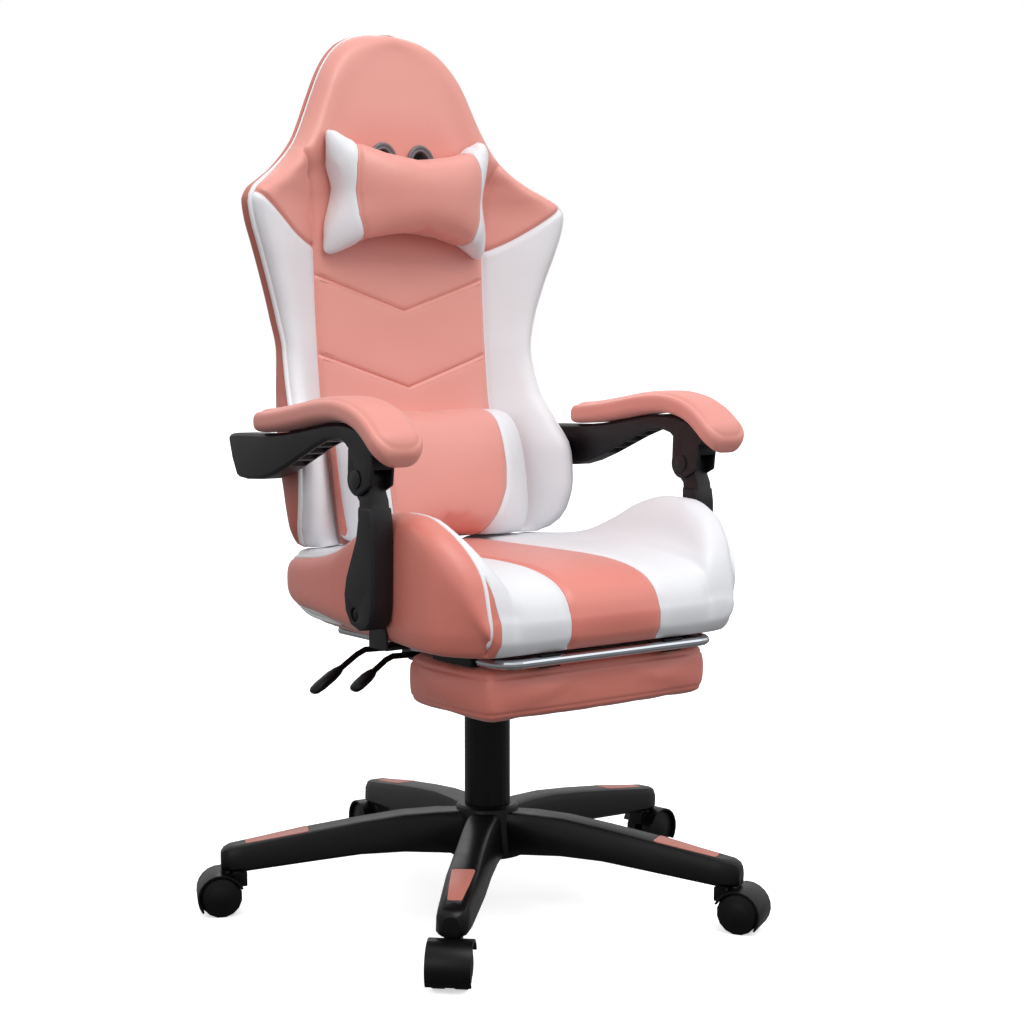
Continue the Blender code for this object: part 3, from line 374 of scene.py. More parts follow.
PINK = leather("pink_leather", (0.715, 0.208, 0.160), (0.685, 0.188, 0.143), shine=0.80, sheen=0.30)
# painted highlight: a lighter, paler copy of the pink leather for the backrest panels and the pillows'
# middles, standing in for the sheen of light that falls on them
PINK_PAINTED_HIGHLIGHT = leather("pink_painted_highlight_leather", (0.775, 0.315, 0.262), (0.745, 0.288, 0.238), shine=0.80,
                   sheen=0.30)
# painted shade: a darker copy of the pink leather for the backrest's side band and rear cover, standing in
# for the shade that falls on them
PINK_PAINTED_SHADE = leather("pink_painted_shade_leather", (0.560, 0.175, 0.135), (0.520, 0.152, 0.116))
WHITE = leather("white_leather", (0.790, 0.795, 0.820), (0.760, 0.765, 0.795), grain=0.16)
PAD = leather("pad_leather", (0.745, 0.300, 0.250), (0.715, 0.272, 0.224), rough=(0.42, 0.55), grain=0.14)
PIPING = leather("white_piping", (0.840, 0.840, 0.850), (0.815, 0.810, 0.820), rough=(0.32, 0.44), grain=0.10)
INLAY = plastic("inlay_plastic", (0.500, 0.175, 0.135), (0.465, 0.155, 0.118), rough=(0.34, 0.46))
BLACK = plastic("black_plastic", (0.0030, 0.0030, 0.0034), (0.0018, 0.0018, 0.0022), rough=(0.24, 0.38),
                shine=0.22)
CHARCOAL = plastic("charcoal_plastic", (0.0085, 0.0080, 0.0105), (0.0055, 0.0050, 0.0070), rough=(0.34, 0.46),
                   shine=0.35)
WHEEL = plastic("wheel_plastic", (0.0030, 0.0030, 0.0034), (0.0018, 0.0018, 0.0022), rough=(0.36, 0.52),
                grain=0.25, shine=0.22)
PAINT = plastic("painted_frame", (0.0080, 0.0080, 0.0092), (0.0050, 0.0050, 0.0062), rough=(0.38, 0.50),
                grain=0.3, scale=700.0, shine=0.3)
CHROME = metal("chrome_tube", (0.62, 0.65, 0.69), (0.54, 0.57, 0.61), (0.10, 0.20))
STEEL = metal("dark_steel", (0.10, 0.10, 0.11), (0.06, 0.06, 0.07), (0.28, 0.42), grain=0.2)
BEZEL = plastic("bezel_plastic", (0.150, 0.150, 0.165), (0.115, 0.115, 0.125), rough=(0.28, 0.40))
BOARD = plastic("board_lining", (0.020, 0.019, 0.019), (0.012, 0.012, 0.012), rough=(0.75, 0.90),
                grain=0.8, scale=900.0)
PINK_THREAD = thread("pink_thread", (0.66, 0.25, 0.20))


# ---- backrest --------------------------------------------------------------------------------------
BACK_LOW = 0.5012
BACK_TOP = 1.2205
back_wide = curve_of([(0.5012, 0.197), (0.5080, 0.210), (0.5330, 0.2255), (0.5770, 0.2300),
                      (0.6210, 0.2290), (0.6660, 0.2215), (0.7110, 0.2130), (0.7700, 0.2090),
                      (0.8140, 0.2170), (0.8740, 0.2350), (0.9150, 0.2500), (0.9500, 0.2615),
                      (0.9700, 0.2645), (0.9850, 0.2570), (0.9980, 0.2390), (1.0150, 0.2120),
                      (1.0350, 0.1870), (1.0600, 0.1650), (1.0900, 0.1485), (1.1250, 0.1325),
                      (1.1550, 0.1180), (1.1800, 0.1010), (1.2000, 0.0800), (1.2110, 0.0600),
                      (1.2165, 0.0430), (1.2195, 0.0250), (1.2205, 0.0090)])
back_edge = curve_of([(0.5012, 0.140), (0.5330, 0.113), (0.5770, 0.102), (0.6210, 0.105), (0.6660, 0.133),
                      (0.7110, 0.161), (0.7700, 0.178), (0.8140, 0.181), (0.8740, 0.177), (0.9150, 0.172),
                      (0.9700, 0.169), (1.0150, 0.185), (1.0500, 0.199), (1.1000, 0.209),
                      (1.1550, 0.215), (1.2205, 0.229)])
back_mid = curve_of([(0.5012, 0.1500), (0.6000, 0.1720), (0.7160, 0.1950), (0.8260, 0.2050),
                     (0.9300, 0.2090), (1.0600, 0.2150), (1.1500, 0.2190), (1.2205, 0.2300)])
back_split = curve_of([(0.5012, 0.1824), (0.6300, 0.2080), (0.7160, 0.2230), (0.8260, 0.2360),
                       (0.9300, 0.2420), (1.0600, 0.2440), (1.1500, 0.2420), (1.2205, 0.2370)])
back_band = curve_of([(0.5012, 0.014), (0.5330, 0.034), (0.5770, 0.051), (0.6210, 0.060),
                      (0.7110, 0.040), (0.7700, 0.028), (0.9700, 0.028), (1.0500, 0.026),
                      (1.1550, 0.024), (1.2205, 0.014)])
back_rear = curve_of([(0.5012, 0.2020), (0.5330, 0.2180), (0.6210, 0.2400), (0.7160, 0.2560),
                      (0.8260, 0.2700), (0.9300, 0.2780), (1.0600, 0.2760), (1.1500, 0.2680),
                      (1.2000, 0.2580), (1.2205, 0.2440)])
# half width of the centre panel, and above it of the bell-shaped head panel
panel_seam = curve_of([(0.50, 0.142), (0.60, 0.144), (0.70, 0.145), (0.92, 0.145), (0.96, 0.147),
                       (0.99, 0.150), (1.020, 0.156), (1.042, 0.165), (1.058, 0.178), (1.068, 0.30)])
# height of the seam between the white wing and the pink shoulder, by half width
shoulder_seam = curve_of([(0.0, 0.915), (0.145, 0.915), (0.175, 0.926), (0.205, 0.944), (0.235, 0.965),
                          (0.255, 0.979), (0.266, 0.984)])
CHEVRONS = (0.716, 0.826)   # heights of the two stitched chevrons at the middle
CHEVRON_RISE = 0.335
NECK = 1.090                # above this height the grid's rows are level
PANEL_SHARE = 0.93          # the centre panel takes this share of the width where it has no side panels


def plain_front(x, z):
    """Front surface of the backrest without its padding."""
    wide, edge, mid = back_wide(z), back_edge(z), back_mid(z)
    flat = np.minimum(0.140, wide * 0.66)
    t = np.clip((np.abs(x) - flat) / (wide - flat), 0, 1)
    swell = 0.30 * (mid - edge) * np.sin(np.pi * t) * t
    return mid + (edge - mid) * t * t * (3 - 2 * t) - swell


def rim_distance(x, z):
    lean = (back_wide(z + 0.0008) - back_wide(z - 0.0008)) / 0.0016
    return np.maximum(back_wide(z) - np.abs(x), 0) / np.sqrt(1 + lean ** 2)


def wrap(z):
    """How far the front panels reach back round the rim: above the shoulders they cover the side."""
    t = np.clip((np.asarray(z) - 0.985) / 0.045, 0, 1)
    return 0.0200 * t * t * (3 - 2 * t)


def padded_front(x, z):
    rim = rim_distance(x, z)
    roll = np.sqrt(1 - (1 - np.minimum(rim / 0.016, 1)) ** 2)
    turn = np.sqrt(1 - (1 - np.minimum(rim / 0.034, 1)) ** 2)
    swell = 0.0070 * roll * np.exp(-np.maximum(rim - 0.016, 0) / 0.055)
    head = 0.0085 * np.exp(-((z - 1.085) / 0.062) ** 2) * np.clip(rim / 0.075, 0, 1)
    return plain_front(x, z) - swell - head + wrap(z) * (1 - turn)


def split_surface(x, z):
    s = np.clip(np.abs(x) / back_wide(z), 0, 1)
    mid = back_split(z)
    return mid + (back_edge(z) + 0.006 + wrap(z) - mid) * s ** 3


def spread(length, count, fine=(0.0012, 0.0026, 0.0044, 0.0070, 0.0105)):
    """Fractions from 0 to 1, close together at both ends of a strip of this length."""
    near = [d / length for d in fine if d < length / 2]
    low = near[-1]
    even = [low + (1 - 2 * low) * i / count for i in range(1, count)]
    return [0.0] + near + even + [1 - d for d in reversed(near)]


def back_grid():
    """Grid of x and z over the backrest's front whose lines follow every seam."""
    inner = spread(0.29, 20)
    outer = spread(0.085, 9)
    guides = [lambda x: np.full_like(x, BACK_LOW)]
    for middle in CHEVRONS:
        guides.append(lambda x, m=middle: m + CHEVRON_RISE * np.minimum(np.abs(x), 0.145))
    guides.append(lambda x: shoulder_seam(np.abs(x)))
    guides.append(lambda x: np.full_like(x, NECK))
    counts = ((0.20, 34), (0.11, 18), (0.045, 8), (0.17, 28))
    rows = []
    for k, (length, count) in enumerate(counts):
        rows += [(k, f) for f in spread(length, count)]
    rows.append((3, 1.0))
    top = [math.sin(math.pi / 2 * i / 30) for i in range(1, 31)]
    columns = [-1 - f for f in reversed(outer + [1.0])][:-1] + [2 * f - 1 for f in inner] + [1.0]
    columns += [1 + f for f in outer[1:] + [1.0]]
    grid_x = np.zeros((len(rows) + len(top), len(columns)))
    grid_z = np.zeros_like(grid_x)
    column = np.array(columns)
    for i in range(len(rows) + len(top)):
        x = column * 0.13
        for _ in range(12):
            if i < len(rows):
                k, f = rows[i]
                z = guides[k](x) * (1 - f) + guides[k + 1](x) * f
            else:
                z = np.full_like(x, NECK + (BACK_TOP - NECK) * top[i - len(rows)])
            wide = back_wide(z)
            seam = np.minimum(panel_seam(z), wide * PANEL_SHARE)
            out = np.abs(column) - 1
            beyond = seam + (wide - seam) * np.maximum(out, 0)
            x = np.where(out <= 0, column * seam, np.sign(column) * beyond)
        grid_x[i] = x
        grid_z[i] = z
    return column, rows, grid_x, grid_z


def build_backrest():
    columns, rows, x, z = back_grid()
    wide = back_wide(z)
    seam = panel_seam(z)
    y = padded_front(x, z)
    side = np.abs(x)
    on_side = seam < wide * PANEL_SHARE
    rim = np.clip((rim_distance(x, z) - 0.002) / 0.014, 0, 1)
    groove = np.where(on_side, 0.0042 * bell(side - seam, 0.0042), 0.0) * rim
    groove += np.where(on_side, 0.0024 * bell(side - seam, 0.0130), 0.0) * rim
    outside = side > seam - 0.0005
    groove += np.where(outside, 0.0045 * bell(z - shoulder_seam(side), 0.0040), 0.0)
    for middle in CHEVRONS:
        gap = (z - middle - CHEVRON_RISE * side) * 0.948
        inside = np.clip((seam - side) / 0.004, 0, 1)
        groove += np.where(side < seam, 0.0022 * bell(gap, 0.0017) + 0.0010 * bell(gap, 0.008), 0.0) * inside
    inside = (side < seam) & (z < 0.90)
    crown = np.where(inside, 0.0060 * (1 - (side / np.maximum(seam, 0.01)) ** 2), 0.0)
    y = y + groove - crown * np.clip((0.92 - z) / 0.10, 0, 1)
    front = np.stack([x, y, z], axis=-1)
    back = np.stack([x, np.maximum(split_surface(x, z) - 0.0004, y + 0.003), z], axis=-1)

    cell_x = columns[:-1] + columns[1:]
    centre = (np.abs(cell_x) < 2)[None, :]
    first_seam_row = sum(1 for k, _ in rows if k < 3)
    row = np.arange(front.shape[0] - 1)[:, None]
    neck_row = np.argmax(np.all(~on_side, axis=1))
    head = row >= neck_row
    wing = ~centre & (row < first_seam_row)
    shoulder = ~centre & (row >= first_seam_row) & ~head
    right = (cell_x < 0)[None, :]
    # the centre panel and the shoulders take the painted-highlight copy of the pink leather
    parts = (("back_centre_panel", centre | head, PINK_PAINTED_HIGHLIGHT, "pink_leather"),
             ("back_wing_r", wing & right, WHITE, "white_leather"),
             ("back_wing_l", wing & ~right, WHITE, "white_leather"),
             ("back_shoulder_r", shoulder & right, PINK_PAINTED_HIGHLIGHT, "pink_leather"),
             ("back_shoulder_l", shoulder & ~right, PINK_PAINTED_HIGHLIGHT, "pink_leather"))
    for name, mask, material, slot in parts:
        mask = np.broadcast_to(mask, (front.shape[0] - 1, front.shape[1] - 1))
        obj = block(name, front, back, mask)
        crease(obj, 60)
        if name == "back_centre_panel":
            for s in (-1, 1):
                cut_away(obj, hole_cutter(s))
            crease(obj, 60)
            place(obj, "back", slot, material, "back_cushion", fill=0.75)
        else:
            place(obj, "back", slot, material, fill=0.8)
    build_back_shell()
    build_back_piping(front)
    for middle in CHEVRONS:
        stitch_chevron(middle)


HOLE_X, HOLE_Z = 0.033, 1.030
HOLE_HALF_WIDE, HOLE_HALF_HIGH = 0.0155, 0.0235
HOLE_TILT = 0.10
HOLE_STEPS = 48


def hole_ring(side, grow, y):
    """An oval round a harness slot, larger than the slot by grow."""
    tilt = side * HOLE_TILT
    out = []
    for i in range(HOLE_STEPS):
        angle = 2 * math.pi * i / HOLE_STEPS
        u, v = (HOLE_HALF_WIDE + grow) * math.cos(angle), (HOLE_HALF_HIGH + grow) * math.sin(angle)
        out.append((side * HOLE_X + u - tilt * v, y, HOLE_Z + v + tilt * u))
    return out


def hole_cutter(side):
    return loft("cutter", [hole_ring(side, 0.0034, y) for y in (0.12, 0.34)])


def build_bezels():
    front = float(padded_front(HOLE_X, HOLE_Z))
    rear = float(back_rear(HOLE_Z))
    for side, tag in ((-1, "r"), (1, "l")):
        profile = [(0.0005, rear + 0.0012), (0.0030, rear + 0.0012), (0.0030, front - 0.0008),
                   (0.0092, front - 0.0006), (0.0102, front - 0.0022), (0.0098, front - 0.0044),
                   (0.0080, front - 0.0056), (0.0060, front - 0.0052), (0.0046, front - 0.0038),
                   (0.0032, front - 0.0046), (0.0014, front - 0.0044), (0.0003, front - 0.0028)]
        verts = [p for grow, y in profile for p in hole_ring(side, grow, y)]
        faces = []
        for i in range(len(profile)):
            a, b = i * HOLE_STEPS, (i + 1) % len(profile) * HOLE_STEPS
            for j in range(HOLE_STEPS):
                k = (j + 1) % HOLE_STEPS
                faces.append((a + j, a + k, b + k, b + j))
        obj = new_object("harness_rim_" + tag, verts, faces)
        crease(obj, 50)
        place(obj, "back", "bezel_plastic", BEZEL, "harness_bezel_" + tag)


def build_back_shell():
    """Side band and rear cover in one sewn skin, with sunk seams on its back."""
    heights = [BACK_LOW + (NECK - BACK_LOW) * i / 110 for i in range(110)]
    heights += [NECK + (BACK_TOP - NECK) * math.sin(math.pi / 2 * i / 30) for i in range(31)]
    rings = []
    for z in heights:
        wide, edge, band = float(back_wide(z)), float(back_edge(z)), float(back_band(z))
        rear = float(back_rear(z))
        ring = []
        for i in range(17):
            s = 1 - 2 * i / 16
            ring.append((s * wide, float(split_surface(s * wide, z)) + 0.0006, z))
        flank = edge + 0.006 + float(wrap(z))
        depth = max(band - 0.008 - float(wrap(z)), 0.004)
        puff = min(0.004, wide * 0.3)
        left = []
        for u in (0.18, 0.40, 0.62, 0.82, 0.94):
            left.append((-(wide + puff * math.sin(math.pi * u) + puff * 0.4 * u), flank + depth * u, z))
        for i in range(41):
            s = -1 + 2 * i / 40
            groove = 0.0030 * math.exp(-((abs(s) * wide - 0.62 * wide) / 0.004) ** 2)
            groove += 0.0030 * math.exp(-((z - 0.800) / 0.004) ** 2) if abs(s) < 0.62 else 0.0
            groove += 0.0025 * math.exp(-((z - 1.055) / 0.004) ** 2)
            reach = rear + (max(edge + 0.006 + band, flank + depth + 0.008) - rear) * abs(s) ** 4
            turn = 0.008 * max(0.0, (abs(s) - 0.94) / 0.06) ** 2
            left.append((s * (wide + puff * 0.4) * 0.995, reach - turn - groove, z))
        right = [(-x, y, h) for x, y, h in reversed(left[:5])]
        rings.append(ring + left + right)
    shell = loft("back_shell", rings)
    for s in (-1, 1):
        cut_away(shell, hole_cutter(s))
    crease(shell, 50)
    # the side band and rear cover take the painted-shade copy of the pink leather
    place(shell, "back", "pink_leather", PINK_PAINTED_SHADE, "back_cover", fill=0.5)


def build_back_piping(front):
    """The white welt round the rim, just behind the front panels."""
    left = [(p[0] - 0.0010, float(back_edge(p[2]) + wrap(p[2])) + 0.0030, p[2]) for p in front[2::2, 0]]
    right = [(-x, y, z) for x, y, z in reversed(left)]
    crown = [(-0.004, left[-1][1], BACK_TOP + 0.0006), (0.004, left[-1][1], BACK_TOP + 0.0006)]
    path = left + crown + right
    radii = np.interp([p[2] for p in path], [0.985, 1.040], [0.0036, 0.0012])
    place(tube("back_piping", path, radii), "back", "white_leather", PIPING)


STITCH_PITCH = 0.0048
STITCH_R = 0.0005
STITCH_SIDES = 6


def stitch_line(name, points):
    """Short thread stitches lying along a seam of the backrest."""
    points = [Vector(p) for p in points]
    lengths = [0.0]
    for a, b in zip(points, points[1:]):
        lengths.append(lengths[-1] + (b - a).length)

    def at(d):
        k = max(i for i in range(len(lengths) - 1) if lengths[i] <= d)
        u = (d - lengths[k]) / (lengths[k + 1] - lengths[k])
        return points[k].lerp(points[k + 1], u)

    verts, faces = [], []
    for n in range(int(lengths[-1] / STITCH_PITCH)):
        a, b = at((n + 0.14) * STITCH_PITCH), at((n + 0.86) * STITCH_PITCH)
        along = (b - a).normalized()
        side = along.cross(Vector((0, -1, 0))).normalized()
        lift = side.cross(along)
        base = len(verts)
        for t, k in ((0.0, 0.3), (0.2, 1.0), (0.8, 1.0), (1.0, 0.3)):
            here = a.lerp(b, t)
            for s in range(STITCH_SIDES):
                angle = 2 * math.pi * s / STITCH_SIDES
                verts.append(here + side * (STITCH_R * k * math.cos(angle))
                             + lift * (STITCH_R * k * math.sin(angle)))
        for i in range(3):
            ring = base + i * STITCH_SIDES
            for s in range(STITCH_SIDES):
                t = (s + 1) % STITCH_SIDES
                faces.append((ring + s, ring + t, ring + STITCH_SIDES + t, ring + STITCH_SIDES + s))
        faces.append(tuple(base + s for s in reversed(range(STITCH_SIDES))))
        faces.append(tuple(base + 3 * STITCH_SIDES + s for s in range(STITCH_SIDES)))
    place(new_object(name, verts, faces), "back", "pink_leather", PINK_THREAD)


def panel_point(x, z, proud):
    """A point on the centre panel's crowned face."""
    seam = float(panel_seam(z))
    crown = 0.0060 * (1 - (x / seam) ** 2) * min(1.0, max(0.0, (0.92 - z) / 0.10))
    return (x, float(padded_front(x, z)) - crown - proud, z)


def stitch_chevron(middle):
    tag = "low" if middle == CHEVRONS[0] else "high"
    for offset, row in ((-0.0052, "under"), (0.0052, "over")):
        points = []
        for i in range(57):
            x = -0.139 + 0.278 * i / 56
            points.append(panel_point(x, middle + CHEVRON_RISE * abs(x) + offset, -0.0010))
        stitch_line("chevron_stitch_%s_%s" % (tag, row), points)


# ---- seat ------------------------------------------------------------------------------------------
SEAT_FRONT = -0.2760
SEAT_REAR = 0.1910
seat_wide = curve_of([(-0.276, 0.2085), (-0.271, 0.2125), (-0.260, 0.2205), (-0.240, 0.2335),
                      (-0.210, 0.2450), (-0.170, 0.2485), (-0.130, 0.2475), (-0.080, 0.2462),
                      (-0.030, 0.2440), (0.030, 0.2400),
                      (0.090, 0.2330), (0.130, 0.2270), (0.163, 0.2190), (0.180, 0.2060), (0.191, 0.1900)])
seat_crest = curve_of([(-0.276, 0.448), (-0.271, 0.472), (-0.260, 0.500), (-0.240, 0.527), (-0.210, 0.552),
                       (-0.170, 0.568), (-0.130, 0.5695), (-0.080, 0.558), (-0.030, 0.534), (0.030, 0.511),
                       (0.090, 0.502), (0.130, 0.4995), (0.163, 0.4972), (0.180, 0.486), (0.191, 0.471)])
seat_mid = curve_of([(-0.276, 0.444), (-0.271, 0.458), (-0.260, 0.473), (-0.240, 0.4855), (-0.210, 0.4940),
                     (-0.170, 0.4985), (-0.120, 0.500), (0.130, 0.4995), (0.163, 0.4972), (0.180, 0.486),
                     (0.191, 0.471)])
seat_low = curve_of([(-0.276, 0.414), (-0.271, 0.406), (-0.262, 0.3995), (-0.250, 0.3990), (0.110, 0.3990),
                     (0.130, 0.4015), (0.163, 0.4125), (0.180, 0.4255), (0.191, 0.4400)])
seat_side = curve_of([(-0.276, 0.0), (-0.200, 0.003), (-0.100, 0.009), (0.0, 0.014), (0.100, 0.018),
                      (0.191, 0.006)])
STRIPE = 0.0725             # half width of the pink stripe down the middle
SEAT_WIDEST = 0.2485
NOSE_REACH = 0.0025         # how far the rounded nose stands out past the first section
NOSE_Z = 0.431


def between(a, b, c, d, t):
    """Catmull-Rom curve from b to c."""
    return 0.5 * (2 * b + (c - a) * t + (2 * a - 5 * b + 4 * c - d) * t * t
                  + (3 * b - a - 3 * c + d) * t ** 3)


def seat_ring(y):
    """The seat's section at y, from the underside of the right edge over the top to the left."""
    wide, crest, mid, low = (float(f(y)) for f in (seat_wide, seat_crest, seat_mid, seat_low))
    k = wide / SEAT_WIDEST
    rise = crest - mid
    edge = min(0.030, (crest - low) * 0.35)
    side = low + float(seat_side(y))
    tuck = 0.016 * min(max((-0.225 - y) / 0.045, 0.0), 1.0)
    half = [(0.0, mid), (0.060 * k, mid), (0.124 * k, mid), (0.154 * k, mid + rise * 0.035),
            (0.174 * k, mid + rise * 0.26), (0.189 * k, mid + rise * 0.70), (0.202 * k, mid + rise * 0.95),
            (0.216 * k, crest), (wide - 0.014, crest - edge * 0.16), (wide - 0.002, crest - edge * 0.70),
            (wide - 0.3 * tuck, (crest + low) * 0.5), (wide - 0.002 - 0.8 * tuck, side + edge * 0.5),
            (wide - 0.012 - tuck, side + 0.002), (wide - 0.040 - tuck, low)]
    dense = []
    for i in range(len(half) - 1):
        p0, p1, p2, p3 = half[max(i - 1, 0)], half[i], half[i + 1], half[min(i + 2, len(half) - 1)]
        for n in range(8):
            dense.append(tuple(between(*numbers, n / 8) for numbers in zip(p0, p1, p2, p3)))
    dense.append(half[-1])
    return dense


# how far inside the seat's edge its side panels meet the top, on the sitter's right and left
WELT_R = curve_of([(-0.285, 0.0150), (-0.276, 0.0150), (-0.260, 0.0265), (-0.240, 0.0350),
                   (-0.210, 0.0400), (-0.170, 0.0385), (-0.050, 0.0340), (0.060, 0.0160), (0.191, 0.0110)])
WELT_L = curve_of([(-0.285, 0.0030), (-0.276, 0.0020), (-0.260, 0.0050), (-0.240, 0.0075),
                   (-0.210, 0.0090), (-0.170, 0.0100), (-0.050, 0.0100), (0.060, 0.0100), (0.191, 0.0110)])


WELT_RADIUS = 0.0031
WELT_END_Z = 0.4080         # the piping stops here, at the foot of the nose


def seat_seam(y, sign):
    """Half width at which the side panel on one side meets the top."""
    return seat_wide(y) - (WELT_L(y) if sign > 0 else WELT_R(y))


def gusset_width(z):
    return np.interp(z, [0.40, 0.44, 0.475, 0.500, 0.510], [0.0125, 0.0120, 0.0085, 0.0020, -0.0020])


SEAM_GAP = 0.0003           # half the gap between two sewn pieces


def sheared(source, offset):
    """An open copy of source's mesh with offset(y, z) taken off x, and the layer that holds it."""
    work = open_mesh(source.data)
    points = np.array([v.co for v in work.verts])
    layer = work.verts.layers.float.new("shift")
    for vert, amount in zip(work.verts, offset(points[:, 1], points[:, 2])):
        vert[layer] = amount
        vert.co.x -= amount
    return work, layer


def slice_at(work, x, way, keep_one_side):
    geom = work.verts[:] + work.edges[:] + work.faces[:]
    return bmesh.ops.bisect_plane(work, geom=geom, dist=1e-7, plane_co=(x, 0, 0), plane_no=(way, 0, 0),
                                  clear_inner=keep_one_side)["geom_cut"]


def keep_side(source, name, offset, side):
    """A closed copy of the part of source that lies on one side of x = offset(y, z)."""
    work, layer = sheared(source, offset)
    slice_at(work, side * SEAM_GAP, side, True)
    open_edges = [e for e in work.edges if e.is_boundary]
    if open_edges:
        bmesh.ops.holes_fill(work, edges=open_edges, sides=0)
    for vert in work.verts:
        vert.co.x += vert[layer]
    work.verts.layers.float.remove(layer)
    flat = [f for f in work.faces if len(f.verts) > 4]
    bmesh.ops.triangulate(work, faces=flat)
    mesh = bpy.data.meshes.new(name)
    close_mesh(work, mesh)
    obj = add_object(name, mesh)
    crease(obj, 55)
    return obj


def seam_route(source, offset):
    """Points in order along the line where x = offset(y, z) crosses the surface, from its rear end."""
    work, layer = sheared(source, offset)
    line = {v for v in slice_at(work, 0, 1, False) if isinstance(v, bmesh.types.BMVert)}
    start = max(line, key=lambda v: v.co.y + 0.2 * v.co.z)
    seen, route, here = {start}, [start], start
    while here is not None:
        near = [e.other_vert(here) for e in here.link_edges]
        near = [v for v in near if v in line and v not in seen]
        here = max(near, key=lambda v: v.co.z) if near else None
        if here is not None:
            seen.add(here)
            route.append(here)
    out = [np.array((v.co.x + v[layer], v.co.y, v.co.z)) for v in route]
    work.free()
    return out


def drop(*objs):
    for obj in objs:
        bpy.data.objects.remove(obj, do_unlink=True)


def seat_form():
    nose = [(SEAT_FRONT - NOSE_REACH * math.cos(a), max(math.sin(a), 0.06))
            for a in (math.pi / 2 * i / 9 for i in range(9))]
    stations = [(y, 1.0) for y in np.concatenate([
        SEAT_FRONT + 0.020 * (1 - np.cos(np.pi / 2 * np.arange(14) / 14)),
        np.linspace(SEAT_FRONT + 0.020, SEAT_REAR - 0.010, 92),
        SEAT_REAR - 0.010 + 0.010 * np.sin(np.pi / 2 * np.arange(1, 7) / 6)])]
    rings = []
    for y, scale in nose + stations:
        half = seat_ring(max(y, SEAT_FRONT))
        ring = half + [(-x, z) for x, z in reversed(half[1:])]
        rings.append([(x * (1 - 0.09 * (1 - scale) ** 1.5), y, NOSE_Z + (z - NOSE_Z) * scale)
                      for x, z in ring])
    seat = loft("seat_form", rings)
    cut_away(seat, new_box((-STRIPE, 0.1175, 0.35), (STRIPE, 0.30, 0.60)))
    return seat


def new_box(low, high):
    (x0, y0, z0), (x1, y1, z1) = low, high
    verts = [(x, y, z) for x in (x0, x1) for y in (y0, y1) for z in (z0, z1)]
    faces = [(0, 1, 3, 2), (4, 6, 7, 5), (0, 4, 5, 1), (2, 3, 7, 6), (0, 2, 6, 4), (1, 5, 7, 3)]
    return new_object("box", verts, faces, smooth=False)


